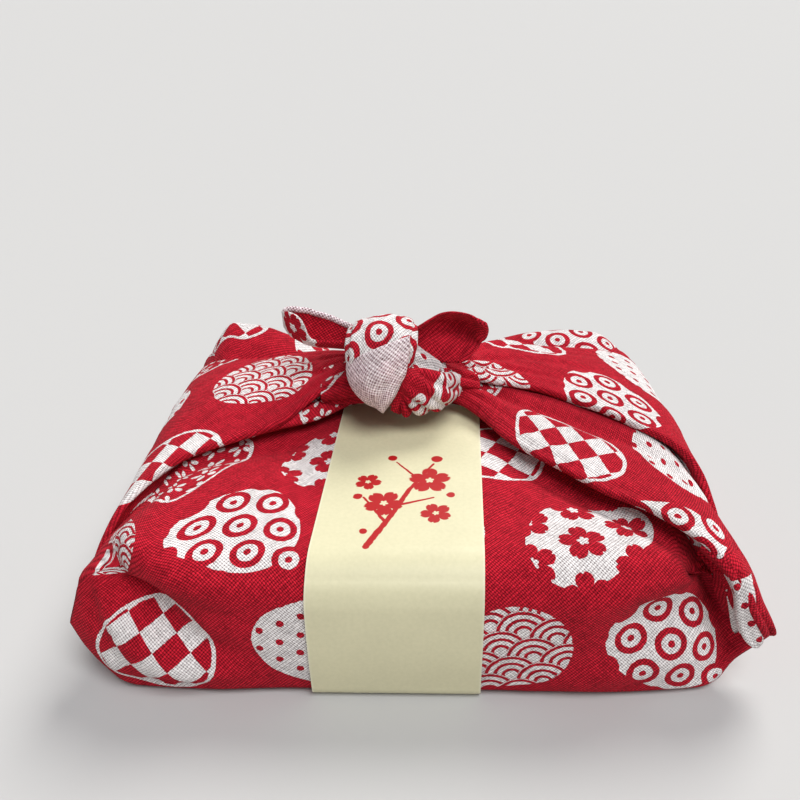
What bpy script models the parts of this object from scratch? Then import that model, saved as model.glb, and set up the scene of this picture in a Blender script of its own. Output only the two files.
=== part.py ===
"""A flat gift parcel wrapped and tied in one square of printed cotton, with a paper belly band.

Metres, +Z up. X runs along the parcel's width, -Y is its front, and the origin lies under the middle of
the parcel on the surface it rests on. The tables are in millimetres and are scaled by MM when a mesh is
made.
"""
import math
from collections import namedtuple

import bmesh
import bpy
import numpy as np

MM = 0.001

# Driving dimensions, mm
PARCEL_WIDTH = 176.0
PARCEL_DEPTH = 154.0
PARCEL_HEIGHT = 47.0
TOP_EDGE_RADIUS = 14.0
UPRIGHT_EDGE_RADIUS = 7.0
UPPER_CORNER_RADIUS = 12.6  # what the upright edges widen to at the top
BOTTOM_EDGE_RADIUS = 3.5
SIDE_BULGE = 2.0
FRONT_BULGE = 1.5
EAR_REACH = 28.0            # how far along the parcel's edges a corner's ear spreads
EAR_FOOT = 0.1              # share of an ear's reach that is left at the parcel's foot
HOLLOW_START = 3.0          # how far above an ear's tip its hollow starts
HOLLOW_RUN = 8.0            # over which height the hollow deepens
HOLLOW_FADE = 10.0          # and over which it fades under the top
LIP_RADIUS = 1.6            # half the thickness of a folded edge of cloth
LIP_TUCK = 6.5              # how far the cloth turns back under a folded edge
ARM_ROOT_DEPTH = 9.0        # how deep an arm's underside sinks below its crest
ROOT_SHARE = 1.1            # how far inward of the tuck the root starts
ROOT_INSET = 10.0           # how deep it reaches into the body's top and sides
STRAND_ROOT = 1.9           # how much further the knot's strands reach into its core than out of it
BAND_WIDTH = 50.0
BAND_CENTRE_X = -3.5
BAND_THICKNESS = 0.6
BAND_GAP = 0.45             # free gap on each side of the paper
SLOT_SKIN = 0.15            # how far outside the body the slot for the paper begins
BAND_EDGE_RADIUS = 4.0      # where the paper turns round the parcel's bottom edges
BAND_FACE_STEPS = 12
BAND_TOP_STEPS = 26
PRESSED_FLAT = 12.0         # how far beyond the band the swellings take to reach their full height
PLEAT_CROWN = 1.5           # how far the short pleat's middle stands over its edges
TAIL_THICKNESS = 2.4        # two layers of cloth with their hem
TAIL_TAPER = 0.55           # how much thinner a tail's edges are
FLAP_THICKNESS = 3.0
FLAP_CROWN = 2.2            # how far the middle of the knot's flap bulges
FLAP_TOP_CROWN = 0.8        # share of the bulge that its top edge keeps
FLAP_LIFT = 0.5             # how far the flap lies off its corners' plane

CLOTH_RED = (0.50, 0.018, 0.035, 1.0)
PAPER_CREAM = (0.72, 0.66, 0.45, 1.0)
CLOTH_ROUGHNESS = 0.9
PAPER_ROUGHNESS = 0.6
SMOOTH_ANGLE = 40.0         # degrees between faces above which an edge is drawn sharp

HALF_WIDTH = PARCEL_WIDTH / 2
HALF_DEPTH = PARCEL_DEPTH / 2

# The box inside the parcel that the arms' faces look away from
INNER_LOW = (-60.0, -20.0, PARCEL_HEIGHT * 0.35)
INNER_HIGH = (60.0, 40.0, PARCEL_HEIGHT * 0.35)

# How many steps the body's skin has along X, Y and Z
BODY_STEPS = (26, 24, 9)
EDGE_CROWDING = 0.62        # under 1, the steps lie closer together near the parcel's edges
HEIGHT_CROWDING = 0.8
# An arm's cross-section where the panel is narrow: shares of its width
NARROW_LIP = 0.12
NARROW_TUCK = 0.27
NARROW_ROOT = 0.5
KNOT_SQUARENESS = 0.7       # under 1, the knot's core is squarer than an ellipse
STRAND_SQUARENESS = 0.8


# ---------------------------------------------------------------- tables

# One row for each corner ear: side along X and Y, how far its tip stands out along X and Y, the height
# of the tip, and how much the corner above the tip is hollowed.
Ear = namedtuple("Ear", "side_x side_y out_x out_y tip_z hollow")
EARS = (
    Ear(-1, -1, 19.0, -8.0, 20.5, 0.0),
    Ear(1, -1, 24.0, -8.0, 16.5, 5.0),
    Ear(-1, 1, 17.0, -5.0, 18.0, 0.0),
    Ear(1, 1, 18.0, -6.0, 16.0, 0.0),
)

# Soft swellings (+) and dips (-) of the top.
Swell = namedtuple("Swell", "x y spread_x spread_y height")
SWELLS = (
    Swell(-66.0, 66.0, 17.0, 13.0, 14.0),
    Swell(60.0, 64.0, 24.0, 14.0, 11.0),
    Swell(-52.0, -40.0, 30.0, 16.0, 2.0),
    Swell(56.0, -58.0, 26.0, 14.0, 2.0),
    Swell(-84.0, -58.0, 14.0, 13.0, 3.0),
    Swell(-40.0, -12.0, 14.0, 10.0, -2.0),
    Swell(38.0, -30.0, 16.0, 10.0, -1.5),
)

# Soft swellings (+) and troughs (-) of the front (side -1) and back (side 1).
FaceSwell = namedtuple("FaceSwell", "side x z spread_x spread_z height")
FACE_SWELLS = (
    FaceSwell(-1, -76.0, 14.0, 18.0, 10.0, 3.0),
    FaceSwell(-1, -70.0, 34.0, 26.0, 7.0, -3.0),
    FaceSwell(-1, 50.0, 24.0, 22.0, 14.0, 1.5),
    FaceSwell(1, -48.0, 22.0, 26.0, 12.0, 2.0),
    FaceSwell(1, 40.0, 30.0, 22.0, 9.0, -2.0),
)

# Soft swellings of the left (side -1) and right (side 1), under the arms' edges.
SideSwell = namedtuple("SideSwell", "side y z spread_y spread_z height")
SIDE_SWELLS = (
    SideSwell(-1, -58.0, 41.0, 15.0, 12.0, 6.5),
    SideSwell(1, -60.0, 44.0, 12.0, 10.0, 2.0),
    SideSwell(-1, 62.0, 36.0, 13.0, 14.0, 3.0),
    SideSwell(1, 62.0, 36.0, 13.0, 14.0, 3.0),
)

# The folded edges of the arms, from inside the knot outwards, over the parcel's top edge and down its
# side to the bottom. Each row is a point of the edge: x, y, z.
LEFT_PLEAT_FRONT = (
    (-6.0, 13.0, 54.0),
    (-19.0, 14.0, 51.5),
    (-35.0, 3.0, 50.5),
    (-50.0, -3.0, 50.0),
    (-62.0, -9.0, 50.0),
)
LEFT_PLEAT_BACK = (
    (-6.0, 26.0, 56.0),
    (-20.0, 27.0, 54.0),
    (-36.0, 20.0, 53.0),
    (-52.0, 10.0, 51.0),
    (-62.0, 4.0, 50.0),
)
LEFT_ARM_FRONT = (
    (-8.0, 14.0, 66.0),
    (-23.0, 13.0, 62.0),
    (-36.0, 5.0, 55.5),
    (-50.0, -4.5, 52.0),
    (-76.0, -20.0, 51.0),
    (-90.0, -41.0, 50.0),
    (-96.5, -55.0, 41.0),
    (-99.5, -61.0, 27.0),
    (-95.0, -62.0, 11.0),
    (-87.0, -62.0, 2.0),
)
LEFT_ARM_CREST = (
    (-8.0, 18.0, 70.0),
    (-25.0, 20.0, 66.0),
    (-40.0, 20.0, 60.0),
    (-56.0, 21.0, 57.0),
    (-78.0, 16.0, 54.5),
    (-90.5, 8.0, 48.0),
    (-93.0, 4.0, 36.0),
    (-93.0, 1.0, 22.0),
    (-91.0, 0.0, 8.0),
    (-87.0, 0.0, 2.0),
)
LEFT_ARM_BACK = (
    (-8.0, 22.0, 66.0),
    (-27.0, 29.0, 65.0),
    (-44.0, 42.0, 58.5),
    (-63.0, 44.0, 54.5),
    (-79.0, 47.0, 52.0),
    (-89.0, 52.0, 46.0),
    (-94.0, 59.0, 34.0),
    (-97.0, 62.0, 21.0),
    (-92.0, 63.0, 9.0),
    (-86.5, 63.0, 2.0),
)
RIGHT_ROLL_FRONT = (
    (2.0, 14.0, 57.0),
    (17.0, 9.0, 53.5),
    (32.0, -12.0, 51.5),
    (47.0, -28.5, 51.0),
    (59.0, -41.5, 51.0),
    (72.0, -54.0, 51.5),
    (82.5, -66.0, 51.0),
    (92.5, -70.0, 41.0),
    (98.5, -70.5, 30.0),
    (104.0, -69.5, 19.0),
    (99.0, -67.0, 8.0),
    (89.0, -66.0, 2.0),
)
RIGHT_ROLL_CREST = (
    (2.0, 18.0, 59.0),
    (20.0, 14.0, 57.0),
    (36.0, 2.0, 54.5),
    (50.0, -9.0, 53.5),
    (64.0, -22.0, 53.0),
    (79.0, -36.0, 52.5),
    (89.5, -48.0, 48.0),
    (94.0, -56.0, 38.0),
    (97.0, -60.0, 28.0),
    (99.0, -62.0, 18.0),
    (95.0, -60.0, 8.0),
    (87.5, -60.0, 2.0),
)
RIGHT_ROLL_BACK = (
    (2.0, 22.0, 57.0),
    (20.0, 26.0, 55.0),
    (36.0, 26.0, 52.0),
    (51.0, 21.0, 51.0),
    (67.0, 10.0, 50.5),
    (78.0, 0.0, 47.5),
    (80.0, -12.0, 41.0),
    (80.0, -24.0, 34.0),
    (80.0, -32.0, 26.0),
    (80.0, -36.0, 17.0),
    (80.0, -36.0, 9.0),
    (80.0, -36.0, 4.0),
)
RIGHT_ARM_FRONT = (
    (0.0, 16.0, 64.0),
    (17.0, 17.0, 60.0),
    (32.0, 16.5, 57.5),
    (49.0, 12.5, 56.0),
    (72.5, -5.5, 54.8),
    (90.0, -24.0, 52.0),
    (95.0, -38.0, 44.0),
    (97.0, -47.0, 30.0),
    (94.0, -50.0, 14.0),
    (87.5, -50.0, 2.0),
)
RIGHT_ARM_CREST = (
    (0.0, 20.0, 68.0),
    (18.0, 24.0, 64.0),
    (32.0, 32.0, 60.0),
    (50.0, 33.0, 58.0),
    (73.0, 26.0, 56.0),
    (90.0, 14.0, 51.0),
    (94.0, 8.0, 40.0),
    (94.5, 4.0, 26.0),
    (91.5, 2.0, 11.0),
    (87.0, 2.0, 2.0),
)
RIGHT_ARM_BACK = (
    (0.0, 24.0, 64.0),
    (20.0, 37.0, 63.0),
    (34.0, 49.0, 60.0),
    (52.0, 51.5, 56.0),
    (75.0, 54.0, 53.0),
    (88.0, 52.0, 49.0),
    (94.0, 57.0, 37.0),
    (97.0, 62.0, 23.0),
    (93.0, 63.0, 10.0),
    (86.5, 63.0, 2.0),
)

# The strands that loop round the knot. A row is a section: its centre, its half width along X and its
# half thickness.
LoopSection = namedtuple("LoopSection", "x y z half_x half_r")
WRAP_STRAND = (
    LoopSection(-11.0, 16.0, 82.0, 12.5, 5.5),
    LoopSection(-11.5, 4.0, 78.0, 12.5, 5.5),
    LoopSection(-12.5, 1.5, 67.0, 11.5, 5.5),
    LoopSection(-11.5, 5.0, 57.0, 8.5, 5.0),
    LoopSection(-9.0, 14.0, 53.0, 7.0, 4.0),
    LoopSection(-10.0, 24.0, 57.0, 9.0, 5.0),
    LoopSection(-11.5, 28.0, 67.0, 11.5, 5.5),
    LoopSection(-11.0, 25.0, 78.0, 12.5, 5.5),
)
LOBE_STRAND = (
    LoopSection(4.0, 15.0, 73.5, 8.0, 4.5),
    LoopSection(6.5, 5.5, 70.0, 9.5, 5.0),
    LoopSection(6.0, 2.5, 62.0, 9.5, 5.0),
    LoopSection(2.0, 6.0, 54.0, 8.0, 4.5),
    LoopSection(1.0, 14.0, 52.0, 7.0, 4.0),
    LoopSection(3.0, 23.0, 55.0, 8.5, 4.5),
    LoopSection(5.5, 26.0, 63.0, 9.0, 5.0),
    LoopSection(5.0, 23.0, 71.0, 8.5, 5.0),
)
# The strand through the knot's middle, from the left arm to the right arm.
CoreSection = namedtuple("CoreSection", "x y z half_y half_z")
CORE_STRAND = (
    CoreSection(-32.0, 17.0, 57.5, 9.0, 6.0),
    CoreSection(-22.0, 16.0, 61.0, 10.0, 8.0),
    CoreSection(-11.0, 15.0, 66.0, 11.0, 11.5),
    CoreSection(-3.0, 15.0, 65.0, 11.5, 11.5),
    CoreSection(5.0, 15.0, 63.5, 10.5, 10.0),
    CoreSection(13.0, 17.0, 60.0, 8.5, 7.0),
    CoreSection(21.0, 19.0, 57.5, 7.0, 4.5),
)

# The tails: x of the section, the height of its lower and upper edge, how far back its middle lies, and
# how far the edges curl forward of the middle.
TailSection = namedtuple("TailSection", "x low_z high_z middle_y curl")
RIGHT_TAIL = (
    TailSection(-4.0, 70.0, 78.0, 17.0, 1.0),
    TailSection(3.0, 68.5, 81.0, 18.0, 3.0),
    TailSection(9.0, 67.0, 84.5, 19.0, 4.5),
    TailSection(16.0, 68.0, 86.5, 19.0, 5.0),
    TailSection(21.0, 71.5, 86.0, 18.0, 4.0),
    TailSection(25.0, 76.5, 82.5, 16.5, 2.0),
)
LEFT_TAIL = (
    TailSection(-16.0, 71.0, 78.0, 18.0, 1.0),
    TailSection(-24.0, 70.0, 82.0, 19.0, 3.5),
    TailSection(-31.0, 70.0, 85.5, 20.0, 5.5),
    TailSection(-38.0, 71.5, 87.0, 20.0, 6.5),
    TailSection(-43.5, 75.5, 87.0, 18.0, 6.0),
    TailSection(-47.0, 79.5, 84.5, 15.0, 2.5),
)

# The light reverse-side flap that hangs over the front of the knot: its corners.
FLAP_CORNERS = ((-23.0, -4.6, 75.0), (-1.5, -3.2, 82.5), (-10.5, -3.6, 55.5))


# ---------------------------------------------------------------- helpers

def between_points(a, b, c, d, t):
    """The point at t, from 0 to 1, of the smooth curve from b to c that a and d bend."""
    point = 2 * b + (c - a) * t + (2 * a - 5 * b + 4 * c - d) * t ** 2
    return (point + (3 * b - a - 3 * c + d) * t ** 3) / 2


def spline(rows, count):
    """Reads a smooth curve through the rows at count even steps of its length."""
    rows = np.asarray(rows, float)
    ends = np.vstack([2 * rows[0] - rows[1], rows, 2 * rows[-1] - rows[-2]])
    steps = np.linalg.norm(np.diff(rows[:, :3], axis=0), axis=1)
    knots = np.concatenate([[0.0], np.cumsum(steps)])
    result = []
    for s in np.linspace(0.0, knots[-1], count):
        i = min(int(np.searchsorted(knots, s, side="right")) - 1, len(rows) - 2)
        t = (s - knots[i]) / (knots[i + 1] - knots[i])
        a, b, c, d = ends[i:i + 4]
        result.append(between_points(a, b, c, d, t))
    return np.array(result)


def unit(v):
    return v / np.maximum(np.linalg.norm(v, axis=-1, keepdims=True), 1e-9)


def add_object(name, verts, faces):
    """Makes a closed mesh object from points in millimetres, with its faces turned outwards."""
    mesh = bpy.data.meshes.new(name)
    mesh.from_pydata([tuple(float(c) * MM for c in v) for v in verts], [], faces)
    work = bmesh.new()
    work.from_mesh(mesh)
    bmesh.ops.recalc_face_normals(work, faces=work.faces)
    if work.calc_volume(signed=True) < 0:
        bmesh.ops.reverse_faces(work, faces=work.faces)
    work.to_mesh(mesh)
    work.free()
    obj = bpy.data.objects.new(name, mesh)
    bpy.context.scene.collection.objects.link(obj)
    return obj


def loft(name, sections, ring_closed=False):
    """Joins closed sections with the same number of points into one solid."""
    count = len(sections[0])
    verts = [p for section in sections for p in section]
    spans = len(sections) if ring_closed else len(sections) - 1
    faces = []
    for i in range(spans):
        a = i * count
        b = ((i + 1) % len(sections)) * count
        for j in range(count):
            k = (j + 1) % count
            faces.append((a + j, a + k, b + k, b + j))
    if not ring_closed:
        faces.append(tuple(range(count)))
        faces.append(tuple(range(len(verts) - count, len(verts))))
    return add_object(name, verts, faces)


def as_helper(obj):
    obj.hide_render = True
    obj.display_type = "WIRE"
    return obj


def join_all(target, pieces):
    """Unites the pieces with the target in one exact operation."""
    group = bpy.data.collections.new(f"{target.name}_pieces")
    for piece in pieces:
        group.objects.link(as_helper(piece))
    modifier = target.modifiers.new("join", "BOOLEAN")
    modifier.operation = "UNION"
    modifier.solver = "EXACT"
    modifier.operand_type = "COLLECTION"
    modifier.collection = group


def cut(target, tool):
    modifier = target.modifiers.new("cut", "BOOLEAN")
    modifier.operation = "DIFFERENCE"
    modifier.solver = "EXACT"
    modifier.object = as_helper(tool)


def material(name, colour, roughness):
    made = bpy.data.materials.new(name)
    made.use_nodes = True
    shader = made.node_tree.nodes["Principled BSDF"]
    shader.inputs["Base Color"].default_value = colour
    shader.inputs["Roughness"].default_value = roughness
    shader.inputs["Metallic"].default_value = 0.0
    return made


# ---------------------------------------------------------------- the wrapped body

def bump(distance_a, distance_b, spread_a, spread_b):
    return math.exp(-((distance_a / spread_a) ** 2 + (distance_b / spread_b) ** 2) / 2)


def ramp(value, low, high):
    """0 below low, 1 above high and straight between them."""
    return min(max((value - low) / (high - low), 0.0), 1.0)


def rounded_box(x, y, z):
    """Rounds the edges of the plain box that x, y, z lie on."""
    level = ramp(z, 0.0, PARCEL_HEIGHT)
    radius = BOTTOM_EDGE_RADIUS + (TOP_EDGE_RADIUS - BOTTOM_EDGE_RADIUS) * level
    corner = UPRIGHT_EDGE_RADIUS + (UPPER_CORNER_RADIUS - UPRIGHT_EDGE_RADIUS) * level ** 2
    inner = np.array([
        np.clip(x, -(HALF_WIDTH - corner), HALF_WIDTH - corner),
        np.clip(y, -(HALF_DEPTH - corner), HALF_DEPTH - corner),
        np.clip(z, radius, PARCEL_HEIGHT - radius),
    ])
    scale = np.array([corner, corner, radius])
    away = (np.array([x, y, z]) - inner) / scale
    size = np.linalg.norm(away)
    if size < 1e-9:
        return inner
    sharpest = np.max(np.abs(away))
    return inner + away / size * sharpest * scale


def ear_profile(z, tip_z):
    """How far an ear stands out at height z, from 0 to 1 at its tip."""
    if z < tip_z:
        return EAR_FOOT + (1 - EAR_FOOT) * ramp(z, 0.0, tip_z) ** 0.7
    return (1 - ramp(z, tip_z, PARCEL_HEIGHT)) ** 0.65


def body_point(x, y, z):
    """A point of the wrapped body for a point of the plain box."""
    p = rounded_box(x, y, z)
    level = ramp(p[2], 0.0, PARCEL_HEIGHT)
    along_x = p[0] / HALF_WIDTH
    along_y = p[1] / HALF_DEPTH
    waist = math.sin(math.pi * level)
    p[1] += math.copysign(FRONT_BULGE, along_y) * along_y ** 2 * waist * max(0.0, 1 - along_x ** 2)
    p[0] += math.copysign(SIDE_BULGE, along_x) * along_x ** 2 * waist * max(0.0, 1 - along_y ** 2)
    free = ramp(abs(p[0] - BAND_CENTRE_X) - BAND_WIDTH / 2, 0.0, PRESSED_FLAT)
    for swell in SWELLS:
        share = bump(p[0] - swell.x, p[1] - swell.y, swell.spread_x, swell.spread_y)
        p[2] += swell.height * share * level ** 2 * free
    for swell in FACE_SWELLS:
        on_face = max(0.0, swell.side * along_y) ** 6
        share = bump(p[0] - swell.x, p[2] - swell.z, swell.spread_x, swell.spread_z)
        p[1] += swell.side * swell.height * share * on_face * free
    for swell in SIDE_SWELLS:
        on_side = max(0.0, swell.side * along_x) ** 6
        share = bump(p[1] - swell.y, p[2] - swell.z, swell.spread_y, swell.spread_z)
        p[0] += swell.side * swell.height * share * on_side
    for ear in EARS:
        away = math.hypot(x - ear.side_x * HALF_WIDTH, y - ear.side_y * HALF_DEPTH)
        nearness = max(0.0, 1 - away / EAR_REACH)
        reach = ear_profile(p[2], ear.tip_z) * nearness ** 1.35
        p[0] += ear.side_x * ear.out_x * reach
        p[1] += ear.side_y * ear.out_y * reach
        above = ramp(p[2] - ear.tip_z, HOLLOW_START, HOLLOW_START + HOLLOW_RUN)
        under_top = ramp(PARCEL_HEIGHT + 1 - p[2], 0.0, HOLLOW_FADE)
        dent = ear.hollow * nearness * above * under_top
        p[0] -= ear.side_x * dent / 2
        p[1] -= ear.side_y * dent
    return p


def eased(count, crowding):
    """Values from -1 to 1 that lie closer together near the ends."""
    even = np.linspace(-1.0, 1.0, count + 1)
    return np.sign(even) * (1 - (1 - np.abs(even)) ** (1 / crowding))


def wrapped_body(name):
    """The body's closed skin on a box-shaped lattice."""
    counts = BODY_STEPS
    axes = (
        eased(counts[0], EDGE_CROWDING) * HALF_WIDTH,
        eased(counts[1], EDGE_CROWDING) * HALF_DEPTH,
        (eased(counts[2], HEIGHT_CROWDING) + 1) / 2 * PARCEL_HEIGHT,
    )
    index = {}
    verts = []

    def vertex(i, j, k):
        key = (i, j, k)
        if key not in index:
            index[key] = len(verts)
            verts.append(body_point(axes[0][i], axes[1][j], axes[2][k]))
        return index[key]

    faces = []
    for fixed in range(3):
        a, b = [axis for axis in range(3) if axis != fixed]
        for end in (0, counts[fixed]):
            for u in range(counts[a]):
                for v in range(counts[b]):
                    corners = []
                    for du, dv in ((0, 0), (1, 0), (1, 1), (0, 1)):
                        key = [0, 0, 0]
                        key[fixed] = end
                        key[a] = u + du
                        key[b] = v + dv
                        corners.append(vertex(*key))
                    faces.append(tuple(corners))
    return add_object(name, verts, faces)


# ---------------------------------------------------------------- the arms

def into_body(point):
    """Moves a point of an arm's underside inside the body, so that no hollow is left between them."""
    x, y, z = point
    side = HALF_WIDTH - ROOT_INSET
    return np.array([min(max(x, -side), side), y, min(z, PARCEL_HEIGHT - ROOT_INSET)])


def arm_section(front, crest, back, out, across):
    """One closed section of an arm: a full upper face with round folded edges, and a root below."""
    width = np.linalg.norm(back - front)
    over = unit(back - front)
    lip = min(LIP_RADIUS, NARROW_LIP * width)
    tuck = min(LIP_TUCK, NARROW_TUCK * width)
    root = min(ARM_ROOT_DEPTH, NARROW_ROOT * width)
    start = front + lip * over
    end = back - lip * over
    section = []
    for t in np.linspace(0.0, 1.0, across + 1):
        arch = (1 - t) * (1 - 2 * t) * start + 4 * t * (1 - t) * crest + t * (2 * t - 1) * end
        section.append(arch + lip * out)
    section += [
        back,
        end - lip * out,
        back - tuck * over - lip * out,
        into_body(back - ROOT_SHARE * tuck * over - root * out),
        into_body((front + back) / 2 - ROOT_SHARE * root * out),
        into_body(front + ROOT_SHARE * tuck * over - root * out),
        front + tuck * over - lip * out,
        start - lip * out,
        front,
    ]
    return section


def arm(name, front_rows, crest_rows, back_rows, count, across=6):
    """One folded panel of cloth from the knot to the foot of the side, with round folded edges."""
    fronts = spline(front_rows, count)
    crests = spline(crest_rows, count)
    backs = spline(back_rows, count)
    sections = []
    for i in range(count):
        forward = crests[min(i + 1, count - 1)] - crests[max(i - 1, 0)]
        out = unit(np.cross(forward, backs[i] - fronts[i]))
        middle = np.clip(crests[i], INNER_LOW, INNER_HIGH)
        if np.dot(out, crests[i] - middle) < 0:
            out = -out
        sections.append(arm_section(fronts[i], crests[i], backs[i], out, across))
    return loft(name, sections)


# ---------------------------------------------------------------- the knot

def squared(wave, power):
    """Flattens a sine or cosine, so that the round it draws becomes squarer."""
    return math.copysign(abs(wave) ** power, wave)


def closed_spline(rows, between=3):
    """A smooth closed curve through the rows, with this many points for each of them."""
    rows = np.asarray(rows, float)
    looped = np.vstack([rows[-1:], rows, rows[:2]])
    curve = []
    for i in range(len(rows)):
        a, b, c, d = looped[i:i + 4]
        for t in np.linspace(0.0, 1.0, between, endpoint=False):
            curve.append(between_points(a, b, c, d, t))
    return np.array(curve)


def loop_strand(name, rows, around):
    """A closed strand that loops round an axis along X, full outside and rooted deeper inside."""
    curve = closed_spline(rows)
    middle = curve[:, :3].mean(axis=0)
    sections = []
    for x, y, z, half_x, half_r in curve:
        outward = unit(np.array([0.0, y - middle[1], z - middle[2]]))
        section = []
        for angle in np.linspace(0.0, 2 * math.pi, around, endpoint=False):
            across = half_x * squared(math.cos(angle), STRAND_SQUARENESS)
            rise = half_r * math.sin(angle)
            if rise < 0:
                rise *= STRAND_ROOT
            section.append(np.array([x + across, y, z]) + outward * rise)
        sections.append(section)
    return loft(name, sections, ring_closed=True)


def core_strand(name, rows, count=9, around=12):
    """The straight strand that the loops go round."""
    sections = []
    for x, y, z, half_y, half_z in spline(rows, count):
        section = []
        for angle in np.linspace(0.0, 2 * math.pi, around, endpoint=False):
            along_y = half_y * squared(math.cos(angle), KNOT_SQUARENESS)
            along_z = half_z * squared(math.sin(angle), KNOT_SQUARENESS)
            section.append((x, y + along_y, z + along_z))
        sections.append(section)
    return loft(name, sections)


def tail(name, rows, count=9, across=6):
    """A free end: a short trough of doubled cloth, open towards the front."""
    sections = []
    for x, low_z, high_z, middle_y, curl in spline(rows, count):
        front = []
        back = []
        for t in np.linspace(0.0, 1.0, across + 1):
            bend = (2 * t - 1) ** 2
            y = middle_y - curl * bend
            z = low_z + (high_z - low_z) * t
            half = TAIL_THICKNESS / 2 * (1 - TAIL_TAPER * bend)
            front.append((x, y - half, z))
            back.append((x, y + half, z))
        sections.append(front + back[::-1])
    return loft(name, sections)


def flap(name, corners, steps=5):
    """A triangular corner of cloth that lies on the knot, crowned in its middle."""
    left, right, tip = (np.array(c, float) for c in corners)
    out = unit(np.cross(right - left, tip - left))
    if out[1] > 0:
        out = -out
    front = []
    back = []
    index = {}
    for i in range(steps + 1):
        for j in range(steps + 1 - i):
            u = i / steps
            v = j / steps
            w = 1 - u - v
            point = left * w + right * v + tip * u
            rise = FLAP_CROWN * (27 * u * v * w + FLAP_TOP_CROWN * 4 * v * w)
            index[(i, j)] = len(front)
            front.append(point + out * (rise + FLAP_LIFT))
            back.append(point - out * FLAP_THICKNESS)
    count = len(front)
    faces = []
    for i in range(steps):
        for j in range(steps - i):
            a = index[(i, j)]
            b = index[(i, j + 1)]
            c = index[(i + 1, j)]
            faces.append((a, b, c))
            faces.append((a + count, c + count, b + count))
            if j < steps - i - 1:
                d = index[(i + 1, j + 1)]
                faces.append((b, d, c))
                faces.append((b + count, c + count, d + count))
    rim = [index[(0, j)] for j in range(steps + 1)]
    rim += [index[(i, steps - i)] for i in range(1, steps + 1)]
    rim += [index[(i, 0)] for i in range(steps - 1, 0, -1)]
    for a, b in zip(rim, rim[1:] + rim[:1]):
        faces.append((a, b, b + count, a + count))
    return add_object(name, front + back, faces)


# ---------------------------------------------------------------- the paper band

def body_path():
    """Points of the body's outline under the band, up its front, over its top and down its back."""
    up = np.linspace(BAND_EDGE_RADIUS + 1.0, PARCEL_HEIGHT, BAND_FACE_STEPS)
    over = np.linspace(-HALF_DEPTH, HALF_DEPTH, BAND_TOP_STEPS)[1:-1]
    path = [(-HALF_DEPTH, z) for z in up]
    path += [(y, PARCEL_HEIGHT) for y in over]
    path += [(HALF_DEPTH, z) for z in up[::-1]]
    return np.array([body_point(BAND_CENTRE_X, y, z)[1:] for y, z in path])


def band_outline(offset):
    """The band's closed path in the Y-Z plane, at this distance outside the body."""
    skin = body_path()
    along = unit(np.gradient(skin, axis=0))
    outward = np.stack([-along[:, 1], along[:, 0]], axis=1)
    path = [tuple(p) for p in skin + outward * offset]
    radius = BAND_EDGE_RADIUS
    front_y = path[0][0] + radius
    back_y = path[-1][0] - radius
    low_z = BAND_THICKNESS + BAND_GAP - offset + radius
    angles = np.linspace(0.0, math.pi / 2, 5)
    for angle in angles:
        path.append((back_y + radius * math.cos(angle), low_z - radius * math.sin(angle)))
    for angle in angles[::-1]:
        path.append((front_y - radius * math.cos(angle), low_z - radius * math.sin(angle)))
    return path


def ribbon(name, inner_offset, outer_offset, half_width):
    """A closed flat loop of the given width between two offsets from the body."""
    inner = band_outline(inner_offset)
    outer = band_outline(outer_offset)
    sections = []
    for (y0, z0), (y1, z1) in zip(inner, outer):
        left = BAND_CENTRE_X - half_width
        right = BAND_CENTRE_X + half_width
        sections.append([(left, y0, z0), (right, y0, z0), (right, y1, z1), (left, y1, z1)])
    return loft(name, sections, ring_closed=True)


# ---------------------------------------------------------------- the object

def clear_scene():
    for obj in list(bpy.data.objects):
        bpy.data.objects.remove(obj, do_unlink=True)


def smooth(obj):
    obj.data.shade_smooth()
    obj.data.set_sharp_from_angle(angle=math.radians(SMOOTH_ANGLE))


def build_cloth():
    cloth = wrapped_body("cloth")
    pleat_crest = (np.array(LEFT_PLEAT_FRONT) + LEFT_PLEAT_BACK) / 2 + (0.0, 0.0, PLEAT_CROWN)
    pieces = [
        arm("left_pleat", LEFT_PLEAT_FRONT, pleat_crest, LEFT_PLEAT_BACK, 8, 4),
        arm("left_arm", LEFT_ARM_FRONT, LEFT_ARM_CREST, LEFT_ARM_BACK, 20),
        arm("right_roll", RIGHT_ROLL_FRONT, RIGHT_ROLL_CREST, RIGHT_ROLL_BACK, 24, 5),
        arm("right_arm", RIGHT_ARM_FRONT, RIGHT_ARM_CREST, RIGHT_ARM_BACK, 20),
        core_strand("knot_core", CORE_STRAND),
        loop_strand("knot_wrap", WRAP_STRAND, 14),
        loop_strand("knot_lobe", LOBE_STRAND, 12),
        tail("right_tail", RIGHT_TAIL),
        tail("left_tail", LEFT_TAIL),
        flap("flap", FLAP_CORNERS),
    ]
    for obj in [cloth] + pieces:
        smooth(obj)
    join_all(cloth, pieces)
    slot = ribbon("band_slot", SLOT_SKIN, 2 * BAND_GAP + BAND_THICKNESS, BAND_WIDTH / 2 + BAND_GAP)
    cut(cloth, slot)
    cloth.data.materials.append(material("printed_cotton", CLOTH_RED, CLOTH_ROUGHNESS))
    return cloth


def build_band():
    band = ribbon("paper_band", BAND_GAP, BAND_GAP + BAND_THICKNESS, BAND_WIDTH / 2)
    smooth(band)
    band.data.materials.append(material("cream_paper", PAPER_CREAM, PAPER_ROUGHNESS))
    return band


clear_scene()
build_cloth()
build_band()
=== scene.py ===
"""Looks of the wrapped and tied gift parcel: printed open-weave cotton, its knot and the paper band.

Blender works in metres. Sizes and tables are in millimetres, scaled by MM, and angles in degrees, unless
they say otherwise. X runs along the parcel's front, Y from the front to the back, Z up.
"""

import math

import bmesh
import bpy
import numpy as np
from mathutils import Matrix, Vector


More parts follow.
